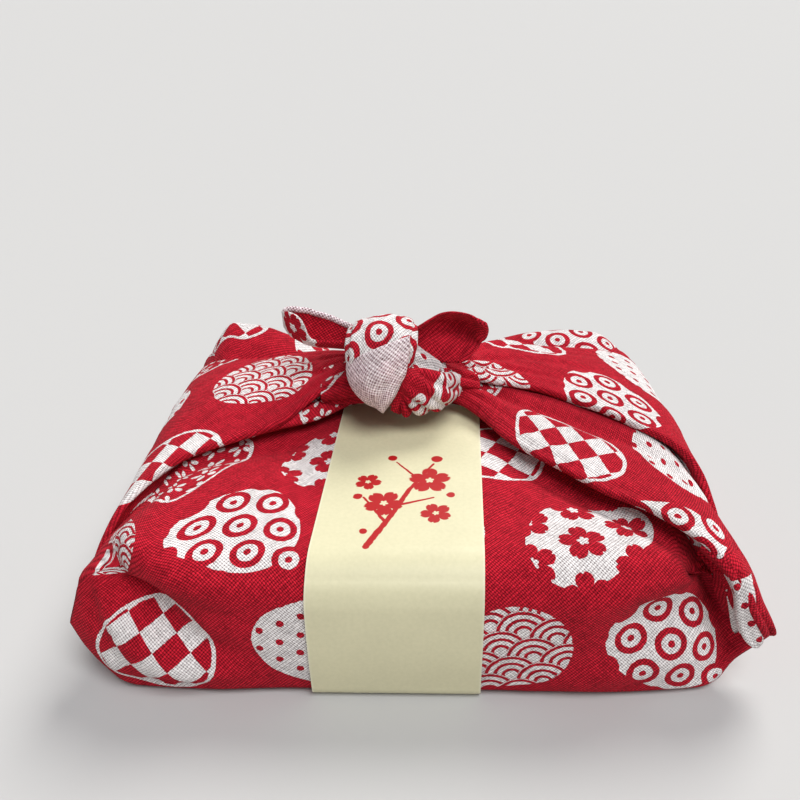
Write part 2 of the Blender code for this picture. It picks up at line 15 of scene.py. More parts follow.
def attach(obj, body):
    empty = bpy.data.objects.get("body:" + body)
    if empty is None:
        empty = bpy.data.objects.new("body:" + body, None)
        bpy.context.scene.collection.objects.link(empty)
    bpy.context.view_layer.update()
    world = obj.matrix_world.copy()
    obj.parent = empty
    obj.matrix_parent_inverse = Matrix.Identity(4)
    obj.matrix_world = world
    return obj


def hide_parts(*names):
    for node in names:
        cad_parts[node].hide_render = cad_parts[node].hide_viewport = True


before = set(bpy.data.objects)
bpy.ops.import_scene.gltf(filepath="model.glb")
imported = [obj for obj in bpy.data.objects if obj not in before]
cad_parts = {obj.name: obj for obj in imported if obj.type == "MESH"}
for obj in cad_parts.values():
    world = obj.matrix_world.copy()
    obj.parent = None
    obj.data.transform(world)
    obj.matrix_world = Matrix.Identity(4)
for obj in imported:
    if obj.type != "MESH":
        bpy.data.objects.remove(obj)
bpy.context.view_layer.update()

MM = 0.001
WELD = 0.00001  # m, how near two patches' points are to become one

# ---- the wrapped body

PARCEL_WIDTH = 176.0
PARCEL_DEPTH = 154.0
PARCEL_HEIGHT = 47.0
HALF_WIDTH = PARCEL_WIDTH / 2
HALF_DEPTH = PARCEL_DEPTH / 2
TOP_EDGE_RADIUS = 14.0
UPRIGHT_EDGE_RADIUS = 7.0
UPPER_CORNER_RADIUS = 12.6
BOTTOM_EDGE_RADIUS = 3.5
SIDE_BULGE = 2.0
FRONT_BULGE = 1.5
EAR_REACH = 28.0  # how far along the faces an ear draws the cloth out
EAR_FOOT = 0.1  # share of an ear's reach that is left at the ground
HOLLOW_START = 3.0  # how far above an ear's tip its hollow begins
HOLLOW_RUN = 8.0  # and over what height it deepens
HOLLOW_FADE = 10.0  # how far below the top it fades out
BAND_WIDTH = 50.0  # the band presses the cloth flat under it
BAND_CENTRE_X = -3.5
PRESSED_FLAT = 12.0  # how far beside the band the cloth takes to swell again
BODY_STEP = 1.75  # between the grid lines of the body's faces
BODY_EASE = 1 / 0.85  # above 1 it draws the lines together near the faces' edges
BODY_RISE = 1.2  # more lines up the low front and sides

# The ears: side x, side y, out x, out y, tip z, hollow
EARS = (
    (-1, -1, 19, -8, 20.5, 0),
    (1, -1, 24, -8, 16.5, 4),
    (-1, 1, 17, -5, 18, 0),
    (1, 1, 18, -6, 16, 0),
)
# The soft swells. On the top: x, y, spread x, spread y, height
SWELLS = (
    (-70, 66, 18, 13, 13.5),
    (-83, 65, 6, 11, 4),
    (60, 64, 24, 14, 11),
    (-52, -40, 30, 16, 2),
    (56, -58, 26, 14, 2),
    (-84, -58, 14, 13, 3),
    (-40, -12, 14, 10, -2),
    (38, -30, 16, 10, -1.5),
)
# On the front and back: side y, x, z, spread x, spread z, height
FACE_SWELLS = (
    (-1, -76, 14, 18, 10, 3),
    (-1, -70, 34, 26, 7, -3),
    (-1, 50, 24, 22, 14, 1.5),
    (1, -48, 22, 26, 12, 2),
    (1, 40, 30, 22, 9, -2),
)
# On the ends: side x, y, z, spread y, spread z, height
SIDE_SWELLS = (
    (-1, -58, 41, 15, 12, 6.5),
    (1, -60, 44, 12, 10, 2),
    (-1, 66, 42, 12, 12, 1.5),
    (1, 62, 36, 13, 14, 3),
)

# Creases pressed into the body: depth (minus is a ridge), half width, then the points they run through
CREASES = (
    (7, 6.5, ((-104, -60, 49), (-93, -66.5, 44.5), (-83.5, -72.7, 38), (-77.3, -73.8, 30.4),
        (-71.8, -76.3, 25), (-62.4, -78.8, 20), (-50, -79, 17))),
    (-3.4, 8, ((-90, -62, 50), (-78, -70.5, 47), (-68.5, -73, 41.5), (-59, -74.5, 36.5), (-44, -76, 32))),
    (3.2, 5.5, ((-96, -64, 44), (-84, -71, 39), (-74, -75.5, 35.5), (-63, -76.5, 34), (-50, -77, 32))),
    (-2.6, 6, ((-101, -64, 44), (-92.5, -70.5, 35), (-88, -73, 27), (-82, -76, 19), (-70, -79, 12),
        (-60, -79, 8))),
    (2.2, 2.4, ((-98, -67, 43), (-95.2, -70, 31.5), (-94.1, -71.9, 25.5), (-91.8, -73.8, 21),
        (-88, -76.5, 14))),
    (-1, 3, ((-96, -72, 12), (-84, -79, 10), (-66, -79, 9))),
    (1, 2.5, ((-88, -78, 6), (-70, -79, 5), (-52, -78, 6))),
    (1.4, 4, ((-52, 4, 47), (-44, -12, 47), (-36, -32, 47.6), (-33, -46, 47.8))),
    (3, 5, ((-98, -60, 46), (-89, -45, 49), (-76, -23, 50), (-50, -8, 48), (-30, 4, 48))),
    (3.4, 5, ((88, -72, 46), (72, -57, 48), (59, -44, 48), (47, -31, 48), (30, -12, 48))),
    (0.9, 4.5, ((-31, -50, 48), (-37, -64, 46.5), (-47, -73, 41))),
    (4.8, 12, ((98, -66, 46), (88, -70, 38), (77, -74, 32), (66, -77, 28), (52, -79, 23))),
    (5.5, 13, ((88, -64, 54), (92, -68, 42), (94, -70, 28), (96, -71, 14), (97, -71, 4))),
    (5, 6.5, ((86, -66, 50), (89.5, -68.4, 40), (91.5, -69.2, 31), (93, -70.5, 24), (96, -72, 14),
        (98, -72, 8))),
    (-1.2, 6, ((50, -78, 36), (64, -74.5, 40), (78, -71, 43.5))),
    (-1, 4.5, ((38, -79, 8), (56, -79, 10), (78, -77, 14), (92, -73, 13))),
    (0.9, 2.6, ((96, -73, 8), (80, -78, 5), (60, -78, 4))),
    (1.1, 3.5, ((28.4, -26, 46.3), (30.6, -46.4, 47.4), (32.5, -63, 47.5))),
    (0.8, 4, ((40, -36, 47), (52, -50, 48), (60, -66, 47))),
    (0.9, 4.5, ((-34, 70, 47), (-52, 52, 50), (-70, 48, 50))),
    (0.9, 4.5, ((30, 72, 47), (46, 56, 52), (72, 56, 52))),
    (1.8, 4, ((-98, 70, 26), (-84, 78, 30), (-62, 79, 33))),
    (1.8, 4, ((98, 70, 26), (84, 78, 30), (62, 79, 33))),
    (1.2, 5, ((-20, 79, 12), (10, 79, 24), (36, 79, 26), (60, 79, 20))),
)

# ---- the arms' lines: front edge, crest and back edge, from the knot to the foot of the side

LEFT_PLEAT = (
    (
        (-6, 13, 56), (-19, 14, 53.5), (-35, 3, 51), (-50, -3, 50), (-62, -9, 49.5),
    ),
    (
        (-6, 26, 56), (-20, 27, 54), (-36, 20, 53), (-52, 10, 51), (-62, 4, 50),
    ),
)
LEFT_ARM = (
    (
        (-8, 14, 67), (-23, 10.5, 64.5), (-36.5, 7, 57.6), (-50, -4.5, 51.8), (-76, -20, 50),
        (-89.5, -42, 48.6), (-95.5, -55, 40.5), (-99, -61, 27), (-95, -62, 11), (-91, -62, 1),
    ),
    (
        (-8, 18, 70), (-25, 20, 66), (-40, 20, 60), (-56, 21, 57), (-78, 16, 54.5), (-90.5, 8, 48),
        (-93, 4, 36), (-93, 1, 22), (-91.5, 0, 8), (-90, 0, 1),
    ),
    (
        (-8, 22, 66), (-27, 29, 65), (-44, 42, 58.5), (-63, 44, 54.5), (-79, 47, 52), (-89, 52, 46),
        (-94, 59, 34), (-97, 62, 21), (-92.5, 63, 9), (-90, 63, 1),
    ),
)
# The roll of cloth along the right arm's front, down to the right ear
RIGHT_ROLL = (
    (
        (2, 14, 57), (17, 9, 53.5), (32, -12, 51.5), (47, -28.5, 51), (59, -41.5, 51), (72, -54, 51.8),
        (82, -66, 51), (89.5, -71, 45.5), (95.2, -73, 39), (98, -74.5, 32.5), (101.5, -75, 26.5),
        (103.8, -73.4, 21.5), (103.6, -69.5, 19), (98, -62, 18), (92, -56, 17),
    ),
    (
        (2, 18, 59), (20, 14, 57), (36, 2, 54.5), (50, -9, 53.5), (64, -22, 53), (79, -36, 52.5),
        (89.5, -49, 49), (96.5, -59, 41), (101.5, -65, 30.5), (104.8, -68.5, 22.8), (103.8, -66.5, 19.5),
        (98, -61, 18), (92, -55, 17),
    ),
    (
        (2, 22, 57), (20, 28, 55), (36, 30, 53.5), (51, 28, 52.5), (67, 19, 51.5), (80, 6, 50.5),
        (89, -12, 46), (92, -26, 38), (93.5, -36, 28), (94.5, -42, 18), (92, -44, 9), (89.5, -44, 2),
    ),
)
# The narrow fold in front of that ear
TONGUE = (
    (
        (82, -66, 49), (88.5, -71, 45), (92, -72.5, 38.5), (93.4, -73, 32), (95.2, -73.5, 25.5),
        (97.5, -74.8, 21), (100.6, -74.4, 18), (102.4, -71.2, 17.4), (98, -64, 16),
    ),
    (
        (86, -62, 49.5), (92.5, -69, 45), (96, -72, 38.5), (98, -73, 32), (100.2, -73.5, 25.5),
        (102, -73.5, 21), (103.2, -71.7, 18.8), (102.8, -68.2, 17), (98, -62, 16),
    ),
    (
        (90, -58, 48), (95.5, -64, 43.5), (98.5, -67, 37.5), (100.5, -68, 31), (102.2, -68, 25),
        (103.4, -67.7, 20.6), (103.7, -66.7, 18.6), (102.6, -65.2, 17), (98, -60, 16),
    ),
)
RIGHT_ARM = (
    (
        (0, 16, 64), (17, 17, 60), (32, 16.5, 57.5), (49, 12.5, 56), (72.5, -5.5, 54.8), (90, -24, 52),
        (95, -38, 44), (97, -47, 30), (94.5, -50, 14), (91, -50, 1),
    ),
    (
        (0, 20, 68), (18, 24, 64), (32, 32, 60), (50, 33, 58), (73, 26, 56), (90, 14, 51), (94, 8, 40),
        (94.5, 4, 26), (92, 2, 11), (90, 2, 1),
    ),
    (
        (0, 24, 64), (20, 37, 63), (34, 49, 60), (52, 51.5, 56), (75, 54, 53), (88, 52, 49), (94, 57, 37),
        (97, 62, 23), (93, 63, 10), (90, 63, 1),
    ),
)

# ---- the knot's lines

# Strands that loop round the core: x, y, z of the middle, half width along X, half thickness
WRAP_STRAND = (
    (-9.5, 14, 55.5, 6.5, 4),
    (-10, 24, 58, 9, 5),
    (-11.5, 28, 66, 11.5, 5.5),
    (-11.5, 25, 75.5, 12.3, 5.5),
    (-11.6, 15.5, 79.8, 12.8, 5.5),
    (-11.6, 5.5, 78, 12.5, 5.5),
    (-12, 2, 69, 10.6, 5.5),
    (-11.5, 5.5, 60, 7, 4.5),
)
LOBE_STRAND = (
    (1, 14, 53, 5.5, 4),
    (4, 23, 54.5, 6.5, 4),
    (7, 26, 59, 6.5, 4),
    (7, 23, 64, 6.5, 4),
    (6, 15, 65.5, 6.5, 4),
    (5.5, 9, 63, 6.5, 4),
    (5, 6.5, 59, 6, 4),
    (2, 8, 55, 6.5, 3.5),
)
# The core: x, y, z, half depth, half height
CORE_STRAND = (
    (-34, 17, 57.5, 9.5, 4.5),
    (-22, 16, 60.5, 10, 7),
    (-11, 15, 65, 11, 11),
    (-3, 15, 65, 11.5, 11),
    (5, 15, 63.5, 10.5, 9.5),
    (14, 17, 60, 6.5, 6),
    (24, 19, 57, 6, 4),
)
# The right tail's upper and lower edge, from the knot outwards
RIGHT_TAIL_TOP = ((-4, 17, 79), (1.7, 15.5, 82), (9.8, 15.5, 86.9), (18, 15, 86.8), (25.6, 13.5, 84.3))
RIGHT_TAIL_FOOT = ((-4, 15, 70.5), (2, 12, 70.4), (8, 11, 69.8), (13.5, 11.5, 69.4), (18.5, 13.5, 70))
# The left tail: x, top z of the back wall, low z, top z of the front wall, back y, front y
LEFT_TAIL = (
    (-17, 76.5, 69.5, 74, 22, 16),
    (-24, 78.8, 71.8, 76.3, 24, 15),
    (-31, 81.8, 73, 77, 24.5, 14),
    (-37, 84, 73.8, 78.4, 24, 13.5),
    (-40, 85.4, 74.6, 85.3, 23, 13.2),
    (-44, 86.8, 77.2, 88, 21, 14.2),
    (-47.3, 87.2, 82, 87.5, 18, 15.8),
)
# The flap on the knot's front: its left side, middle and right side, downwards to its tip
FLAP_LEFT = (
    (-23.6, 3.4, 73.4), (-23.6, 1.6, 70.8), (-22.2, -1, 66.8), (-18.1, -3.8, 62.2), (-10.9, -5.4, 58.9),
)
FLAP_MIDDLE = (
    (-12.4, -2.8, 82), (-12.8, -6.6, 76), (-12.6, -8.2, 70), (-12, -7.8, 64), (-10.8, -5.8, 58.7),
)
FLAP_RIGHT = (
    (-1.4, -0.5, 85.6), (-1.8, -3.2, 79.4), (-3.3, -5, 72.6), (-7.6, -6, 64), (-10.7, -5.8, 58.6),
)
# The gathered lobe right of the flap: its lower edge, middle and upper edge, outwards
LOBE_LOW = ((-8, -1, 57), (-4.6, -0.6, 52.9), (3.8, 0.4, 53.8), (10, 2.5, 55.4), (17, 17, 55))
LOBE_MIDDLE = ((-7.5, -3.5, 61.5), (-3, -5.4, 62), (4.5, -4.4, 63), (12, -0.5, 62), (19, 19, 58))
LOBE_HIGH = ((-6, -2.5, 68), (-3.1, -1, 73.6), (4.2, 1, 73.2), (11.3, 5, 69.6), (17, 20, 62))
# The lobe's pleats: depth, half width, then the points they run through
LOBE_CREASES = (
    (2.4, 1.1, ((-7.5, -5, 66), (-5.6, -4.5, 60), (-4.6, -0.5, 52), (-4.4, 2, 49))),
    (2.8, 1.2, ((-7, -5, 67), (-2.5, -5, 60), (0.4, -0.5, 53), (1.4, 2, 49.5))),
    (2.2, 1.3, ((-6, -5, 68), (1.5, -5, 61), (6.5, -0.5, 55), (8.5, 3, 51.5))),
    (1.6, 1.6, ((-4, -4, 71), (5, -4, 64), (12, 0.5, 57.5), (15, 6, 54))),
    (1.5, 1.6, ((-2, -1, 74), (7, -1.5, 68.5), (14, 4, 62.5), (17, 12, 60))),
)

# ---- the print's repeat

PRINT_PITCH = (52.0, 42.0)
BLOB = (20.5, 16.6)  # half width and half height of a printed patch
PATTERNS = ("waves", "rings", "petals", "blossoms", "checks", "spots")
PRINTED, REVERSE, PLAIN = 0, 1, 2


def print_origin(pattern, row, across, up):
    """Where in the print a part lies whose point (across, up) shows this row's patch of this pattern."""
    column = (PATTERNS.index(pattern) - 2 * row) % len(PATTERNS)
    x = (column + 0.5 - (row % 2) / 2) * PRINT_PITCH[0]
    y = (row + 0.5) * PRINT_PITCH[1]
    return x - across, y - up


# Where in the print each part lies
PRINT_ON = {
    "under layer": (0.0, 1200.0),
    "left pleat": (40.0, 420.0),
    "left arm": (700.0, 20.0),
    "right roll": (914.0, 68.0),
    "tongue": print_origin("spots", 26, -2.0, 30.0),
    "right arm": (500.0, 300.0),
    "core": (20.0, 700.0),
    "wrap": print_origin("rings", 20, 16.7, 47.6),
    "lobe strand": (120.0, 940.0),
    "lobe": print_origin("rings", 24, 28.0, 15.0),
    "right tail": (0.0, 1500.0),
    "left tail": print_origin("blossoms", 22, -16.0, 33.0),
    "hem": (30.0, 1700.0),
    "flap": (40.0, 1800.0),
}


def print_uv(origin, u, v, turn=0.0):
    """UV, mm, for running lengths u and v on a cloth whose print is turned about its place origin."""
    c, s = math.cos(math.radians(turn)), math.sin(math.radians(turn))
    return np.stack([origin[0] + c * u - s * v, origin[1] + s * u + c * v], axis=-1)


# ---- small maths

def unit(v):
    return v / np.maximum(np.linalg.norm(v, axis=-1, keepdims=True), 1e-9)


def ramp(value, low, high):
    """0 at low to 1 at high; low may be the larger."""
    return np.clip((value - low) / (high - low), 0.0, 1.0)


def smooth(value, low, high):
    t = ramp(value, low, high)
    return t * t * (3 - 2 * t)


def hump(away, spread):
    return np.exp(-(away / spread) ** 2)


def squared(wave, power):
    """A sine or cosine made squarer by a power below 1."""
    return np.sign(wave) * np.abs(wave) ** power


def lengths(points, axis):
    """Running length along one axis of a grid of points."""
    steps = np.linalg.norm(np.diff(points, axis=axis), axis=-1)
    start = np.zeros_like(np.take(steps, [0], axis=axis))
    return np.concatenate([start, np.cumsum(steps, axis=axis)], axis=axis)


def between(a, b, c, d, t):
    """A share t of the way from b to c on the smooth curve through a, b, c and d."""
    point = 2 * b + (c - a) * t + (2 * a - 5 * b + 4 * c - d) * t ** 2
    return (point + (3 * b - a - 3 * c + d) * t ** 3) / 2


def spline(rows, shares):
    """A smooth curve through the rows at these shares, 0 to 1, of its length."""
    rows = np.asarray(rows, float)
    ends = np.vstack([2 * rows[0] - rows[1], rows, 2 * rows[-1] - rows[-2]])
    knots = lengths(rows[:, :3], 0)
    s = np.asarray(shares) * knots[-1]
    i = np.clip(np.searchsorted(knots, s, side="right") - 1, 0, len(rows) - 2)
    t = ((s - knots[i]) / (knots[i + 1] - knots[i]))[:, None]
    return between(ends[i], ends[i + 1], ends[i + 2], ends[i + 3], t)


def closed_spline(rows, count):
    """The same as a ring of count points, the last row joined to the first."""
    rows = np.asarray(rows, float)
    n = len(rows)
    s = np.arange(count) * n / count
    i = np.floor(s).astype(int)
    t = (s - i)[:, None]
    return between(rows[(i - 1) % n], rows[i % n], rows[(i + 1) % n], rows[(i + 2) % n], t)


def arched(a, middle, b, t):
    """The parabola from a at t = 0 through the middle to b at t = 1."""
    return (1 - t) * (1 - 2 * t) * a + 4 * t * (1 - t) * middle + t * (2 * t - 1) * b


DICE = np.random.RandomState(41).rand(8192) * 2 - 1


def noise(points, scale, seed=0):
    """Smooth noise from -1 to 1 whose bumps are about this many millimetres across."""
    p = np.asarray(points, float) / scale + 100.0
    cell = np.floor(p).astype(np.int64)
    f = p - cell
    f = f * f * f * (f * (f * 6 - 15) + 10)
    total = 0.0
    for corner in range(8):
        step = np.array([corner & 1, corner >> 1 & 1, corner >> 2 & 1])
        c = cell + step
        key = c[..., 0] * 73856093 ^ c[..., 1] * 19349663 ^ c[..., 2] * 83492791 ^ (seed * 7919 + 13)
        weight = np.prod(np.where(step == 1, f, 1 - f), axis=-1)
        total = total + DICE[key & 8191] * weight
    return total


def rough(points, seed, *layers):
    """The sum of noise layers, each (height, size of its bumps), with seeds one after another."""
    return sum(height * noise(points, size, seed + i) for i, (height, size) in enumerate(layers))


def line_distance(points, line):
    """Distance from each point to the smooth curve through line, and the share of its length there."""
    curve = spline(line, np.linspace(0, 1, 24))
    best = np.full(points.shape[:-1], np.inf)
    where = np.zeros(points.shape[:-1])
    for i in range(len(curve) - 1):
        a = curve[i]
        ab = curve[i + 1] - a
        t = np.clip(((points - a) @ ab) / (ab @ ab), 0, 1)
        d = np.linalg.norm(points - a - t[..., None] * ab, axis=-1)
        near = d < best
        best = np.where(near, d, best)
        where = np.where(near, (i + t) / (len(curve) - 1), where)
    return best, where


def pressed(points, creases):
    """How far creases lower the points; each fades out at its ends."""
    height = np.zeros(points.shape[:-1])
    for depth, width, line in creases:
        near, share = line_distance(points, line)
        fade = np.sin(math.pi * np.clip(share, 0.02, 0.98)) ** 0.5
        height -= depth * hump(near, width) * fade
    return height


# ---- one mesh from many patches

def add_object(name, data):
    made = bpy.data.objects.new(name, data)
    bpy.context.scene.collection.objects.link(made)
    return made


class Mesh:
    """Gathers grids of points into one mesh with a UV map in metres."""

    def __init__(self):
        self.points = []
        self.faces = []
        self.uvs = []
        self.slots = []
        self.count = 0

    def grid(self, points, uv, slot=PRINTED, closed=False, flip=False):
        """points is (n, m, 3) in mm; uv is (n, m, 2) in mm, with one more row where n is closed."""
        n, m = points.shape[:2]
        index = self.count + np.arange(n * m).reshape(n, m)
        if closed:
            index = np.vstack([index, index[:1]])
        quads = np.stack([index[:-1, :-1], index[1:, :-1], index[1:, 1:], index[:-1, 1:]], axis=-1)
        corners = np.stack([uv[:-1, :-1], uv[1:, :-1], uv[1:, 1:], uv[:-1, 1:]], axis=-2)
        if flip:
            quads = quads[..., ::-1]
            corners = corners[..., ::-1, :]
        self.points.append(points.reshape(-1, 3))
        self.faces.append(quads.reshape(-1, 4))
        self.uvs.append(corners.reshape(-1, 2))
        self.slots.append(np.full(len(self.faces[-1]), slot))
        self.count += n * m

    def build(self, name):
        points = np.vstack(self.points) * MM
        faces = np.vstack(self.faces)
        mesh = bpy.data.meshes.new(name)
        mesh.vertices.add(len(points))
        mesh.vertices.foreach_set("co", points.ravel())
        mesh.loops.add(faces.size)
        mesh.loops.foreach_set("vertex_index", faces.ravel().astype(np.int32))
        mesh.polygons.add(len(faces))
        mesh.polygons.foreach_set("loop_start", np.arange(0, faces.size, 4, dtype=np.int32))
        mesh.polygons.foreach_set("material_index", np.concatenate(self.slots).astype(np.int32))
        layer = mesh.uv_layers.new(name="UVMap")
        layer.uv.foreach_set("vector", (np.vstack(self.uvs) * MM).ravel())
        mesh.update(calc_edges=True)
        mesh.validate()
        work = bmesh.new()
        work.from_mesh(mesh)
        bmesh.ops.remove_doubles(work, verts=work.verts, dist=WELD)
        work.to_mesh(mesh)
        work.free()
        mesh.shade_smooth()
        return add_object(name, mesh)


# ---- the body's shape

def swell(a, b, spread_a, spread_b):
    return np.exp(-((a / spread_a) ** 2 + (b / spread_b) ** 2) / 2)


def rounded(box):
    """The rounded body and its outward direction for points of the plain box."""
    level = ramp(box[..., 2], 0.0, PARCEL_HEIGHT)
    radius = BOTTOM_EDGE_RADIUS + (TOP_EDGE_RADIUS - BOTTOM_EDGE_RADIUS) * level
    corner = UPRIGHT_EDGE_RADIUS + (UPPER_CORNER_RADIUS - UPRIGHT_EDGE_RADIUS) * level ** 2
    inner = np.stack([
        np.clip(box[..., 0], -(HALF_WIDTH - corner), HALF_WIDTH - corner),
        np.clip(box[..., 1], -(HALF_DEPTH - corner), HALF_DEPTH - corner),
        np.clip(box[..., 2], radius, PARCEL_HEIGHT - radius),
    ], axis=-1)
    scale = np.stack([corner, corner, radius], axis=-1)
    away = (box - inner) / scale
    size = np.maximum(np.linalg.norm(away, axis=-1, keepdims=True), 1e-9)
    sharpest = np.max(np.abs(away), axis=-1, keepdims=True)
    return inner + away / size * sharpest * scale, away / size


def bulge(p, along_x, along_y, level):
    """Swell the faces outwards in their middle."""
    waist = np.sin(math.pi * level)
    p[..., 1] += np.sign(along_y) * FRONT_BULGE * along_y ** 2 * waist * np.maximum(0, 1 - along_x ** 2)
    p[..., 0] += np.sign(along_x) * SIDE_BULGE * along_x ** 2 * waist * np.maximum(0, 1 - along_y ** 2)


def plump(p, along_x, along_y, level, free):
    """Raise the swells that the folded layers make on the top, the front, the back and the sides."""
    for x, y, spread_x, spread_y, height in SWELLS:
        p[..., 2] += height * swell(p[..., 0] - x, p[..., 1] - y, spread_x, spread_y) * level ** 2 * free
    for side, x, z, spread_x, spread_z, height in FACE_SWELLS:
        on_face = np.maximum(0.0, side * along_y) ** 6 * free
        p[..., 1] += side * height * swell(p[..., 0] - x, p[..., 2] - z, spread_x, spread_z) * on_face
    for side, y, z, spread_y, spread_z, height in SIDE_SWELLS:
        on_side = np.maximum(0.0, side * along_x) ** 6
        p[..., 0] += side * height * swell(p[..., 1] - y, p[..., 2] - z, spread_y, spread_z) * on_side


def ear_profile(z, tip_z):
    below = EAR_FOOT + (1 - EAR_FOOT) * ramp(z, 0.0, tip_z) ** 0.7
    above = (1 - ramp(z, tip_z, PARCEL_HEIGHT)) ** 0.65
    return np.where(z < tip_z, below, above)


def draw_ears(p, box):
    """Draw the corners out into pointed ears, with a hollow above a tip."""
    for side_x, side_y, out_x, out_y, tip_z, hollow in EARS:
        away = np.hypot(box[..., 0] - side_x * HALF_WIDTH, box[..., 1] - side_y * HALF_DEPTH)
        nearness = np.maximum(0.0, 1 - away / EAR_REACH)
        reach = ear_profile(p[..., 2], tip_z) * nearness ** 1.35
        p[..., 0] += side_x * out_x * reach
        p[..., 1] += side_y * out_y * reach
        above = ramp(p[..., 2] - tip_z, HOLLOW_START, HOLLOW_START + HOLLOW_RUN)
        under_top = ramp(PARCEL_HEIGHT + 1 - p[..., 2], 0.0, HOLLOW_FADE)
        dent = hollow * nearness * above * under_top
        p[..., 0] -= side_x * dent / 2
        p[..., 1] -= side_y * dent


def body(box, creased=True):
    """The wrapped body for points of the plain box."""
    box = np.asarray(box, float)
    p, out = rounded(box)
    level = ramp(p[..., 2], 0.0, PARCEL_HEIGHT)
    along_x = p[..., 0] / HALF_WIDTH
    along_y = p[..., 1] / HALF_DEPTH
    bulge(p, along_x, along_y, level)
    free = ramp(np.abs(p[..., 0] - BAND_CENTRE_X) - BAND_WIDTH / 2, 0.0, PRESSED_FLAT)
    plump(p, along_x, along_y, level, free)
    draw_ears(p, box)
    if creased:
        height = rough(p, 1, (0.75, 26.0), (0.34, 11.0), (0.14, 5.0)) + pressed(p, CREASES)
        p = p + out * (height * free * smooth(p[..., 2], 0.5, 5.0))[..., None]
    return p


# ---- the body's faces

BACK_PRINT = 330.0  # where in the print the middle of the back lies
TOP_SEAM = 0.58  # share of the top's depth where the print from the front meets the back's
PRINTED_ACROSS = 0.92  # shares of the front's width and height beyond which the hidden right corner is
PRINTED_UP = 0.8  # left plain red, because the print's seams meet there


def eased(count):
    """Shares from -1 to 1, closer together near both ends."""
    even = np.linspace(-1.0, 1.0, count + 1)
    return np.sign(even) * (1 - (1 - np.abs(even)) ** BODY_EASE)


def widths(grid):
    """Running length across a face, from its middle."""
    run = lengths(grid, 0)
    middle = len(run) // 2
    return run - run[middle:middle + 1]


def add_body(mesh):
    """The six faces; the print runs on over the edges, and its seams lie across the top and the sides."""
    sizes = (PARCEL_WIDTH, PARCEL_DEPTH, PARCEL_HEIGHT * BODY_RISE)
    nx, ny, nz = (int(size / BODY_STEP) for size in sizes)
    lines = (eased(nx) * HALF_WIDTH, eased(ny) * HALF_DEPTH, (eased(nz) + 1) / 2 * PARCEL_HEIGHT)

    def face(axis, value):
        held = list(lines)
        held[axis] = np.array([value])
        box = np.stack(np.meshgrid(*held, indexing="ij"), axis=-1)
        return body(np.squeeze(box, axis=axis))

    def add(points, uv, rows=slice(None), columns=slice(None), slot=PRINTED, flip=False):
        mesh.grid(points[rows, columns], uv[rows, columns], slot=slot, flip=flip)

    front = face(1, -HALF_DEPTH)
    back = face(1, HALF_DEPTH)
    top = face(2, PARCEL_HEIGHT)
    floor = face(2, 0.0)
    front_v = lengths(front, 1)
    back_v = lengths(back, 1)
    top_v = lengths(top, 1)
    front_u = widths(front)
    back_u = BACK_PRINT - widths(back)

    covered = int(nx * PRINTED_ACROSS)
    brow = int(nz * PRINTED_UP)
    left_part = slice(0, covered + 1)
    right_part = slice(covered, None)
    low_part = slice(0, brow + 1)
    high_part = slice(brow, None)
    front_uv = np.stack([front_u, front_v], axis=-1)
    add(front, front_uv, left_part)
    add(front, front_uv, right_part, low_part)
    add(front, front_uv, right_part, high_part, slot=PLAIN)
    add(back, np.stack([back_u, back_v], axis=-1), flip=True)
    add(floor, np.stack([widths(floor), -lengths(floor, 1)], axis=-1), flip=True)

    seam = int(ny * TOP_SEAM)
    near_uv = np.stack([widths(top), front_v[:, -1:] + top_v], axis=-1)
    far_uv = np.stack([BACK_PRINT - widths(top), back_v[:, -1:] + top_v[:, -1:] - top_v], axis=-1)
    add(top, near_uv, left_part, slice(0, seam + 1))
    add(top, near_uv, right_part, slice(0, seam + 1), slot=PLAIN)
    add(top, far_uv, columns=slice(seam, None))

    near_half = slice(0, ny // 2 + 1)
    far_half = slice(ny // 2, None)
    for side in (-1, 1):
        points = face(0, side * HALF_WIDTH)
        end = -1 if side > 0 else 0
        run = lengths(points, 0)
        side_v = lengths(points, 1)
        near_uv = np.stack([front_u[end] + side * run, side_v], axis=-1)
        far_uv = np.stack([back_u[end] - side * (run[-1:] - run), side_v], axis=-1)
        flip = side < 0
        if side < 0:
            add(points, near_uv, near_half, flip=flip)
        else:
            add(points, near_uv, near_half, low_part, flip=flip)
            add(points, near_uv, near_half, high_part, slot=PLAIN, flip=flip)
        add(points, far_uv, far_half, flip=flip)


UNDER_LAYER_DROP = 7.0  # how far it lies below the top
UNDER_LAYER_FRONT = -58.0
UNDER_LAYER_BACK = 60.0
UNDER_LAYER_HALF_WIDTH = 70.0


def add_under_layer(mesh):
    """The flap that was folded over first; it narrows to the front and hides under the top's folds."""
    xs = np.linspace(-UNDER_LAYER_HALF_WIDTH, UNDER_LAYER_HALF_WIDTH, 24)
    ys = np.linspace(UNDER_LAYER_FRONT, UNDER_LAYER_BACK, 20)
    x, y = np.meshgrid(xs, ys, indexing="ij")
    reach = 1 - 0.35 * ramp(-y, 0.0, -UNDER_LAYER_FRONT)
    points = np.stack([x * reach, y, np.full(x.shape, PARCEL_HEIGHT - UNDER_LAYER_DROP)], axis=-1)
    mesh.grid(points, print_uv(PRINT_ON["under layer"], points[..., 0], y))


# ---- the arms

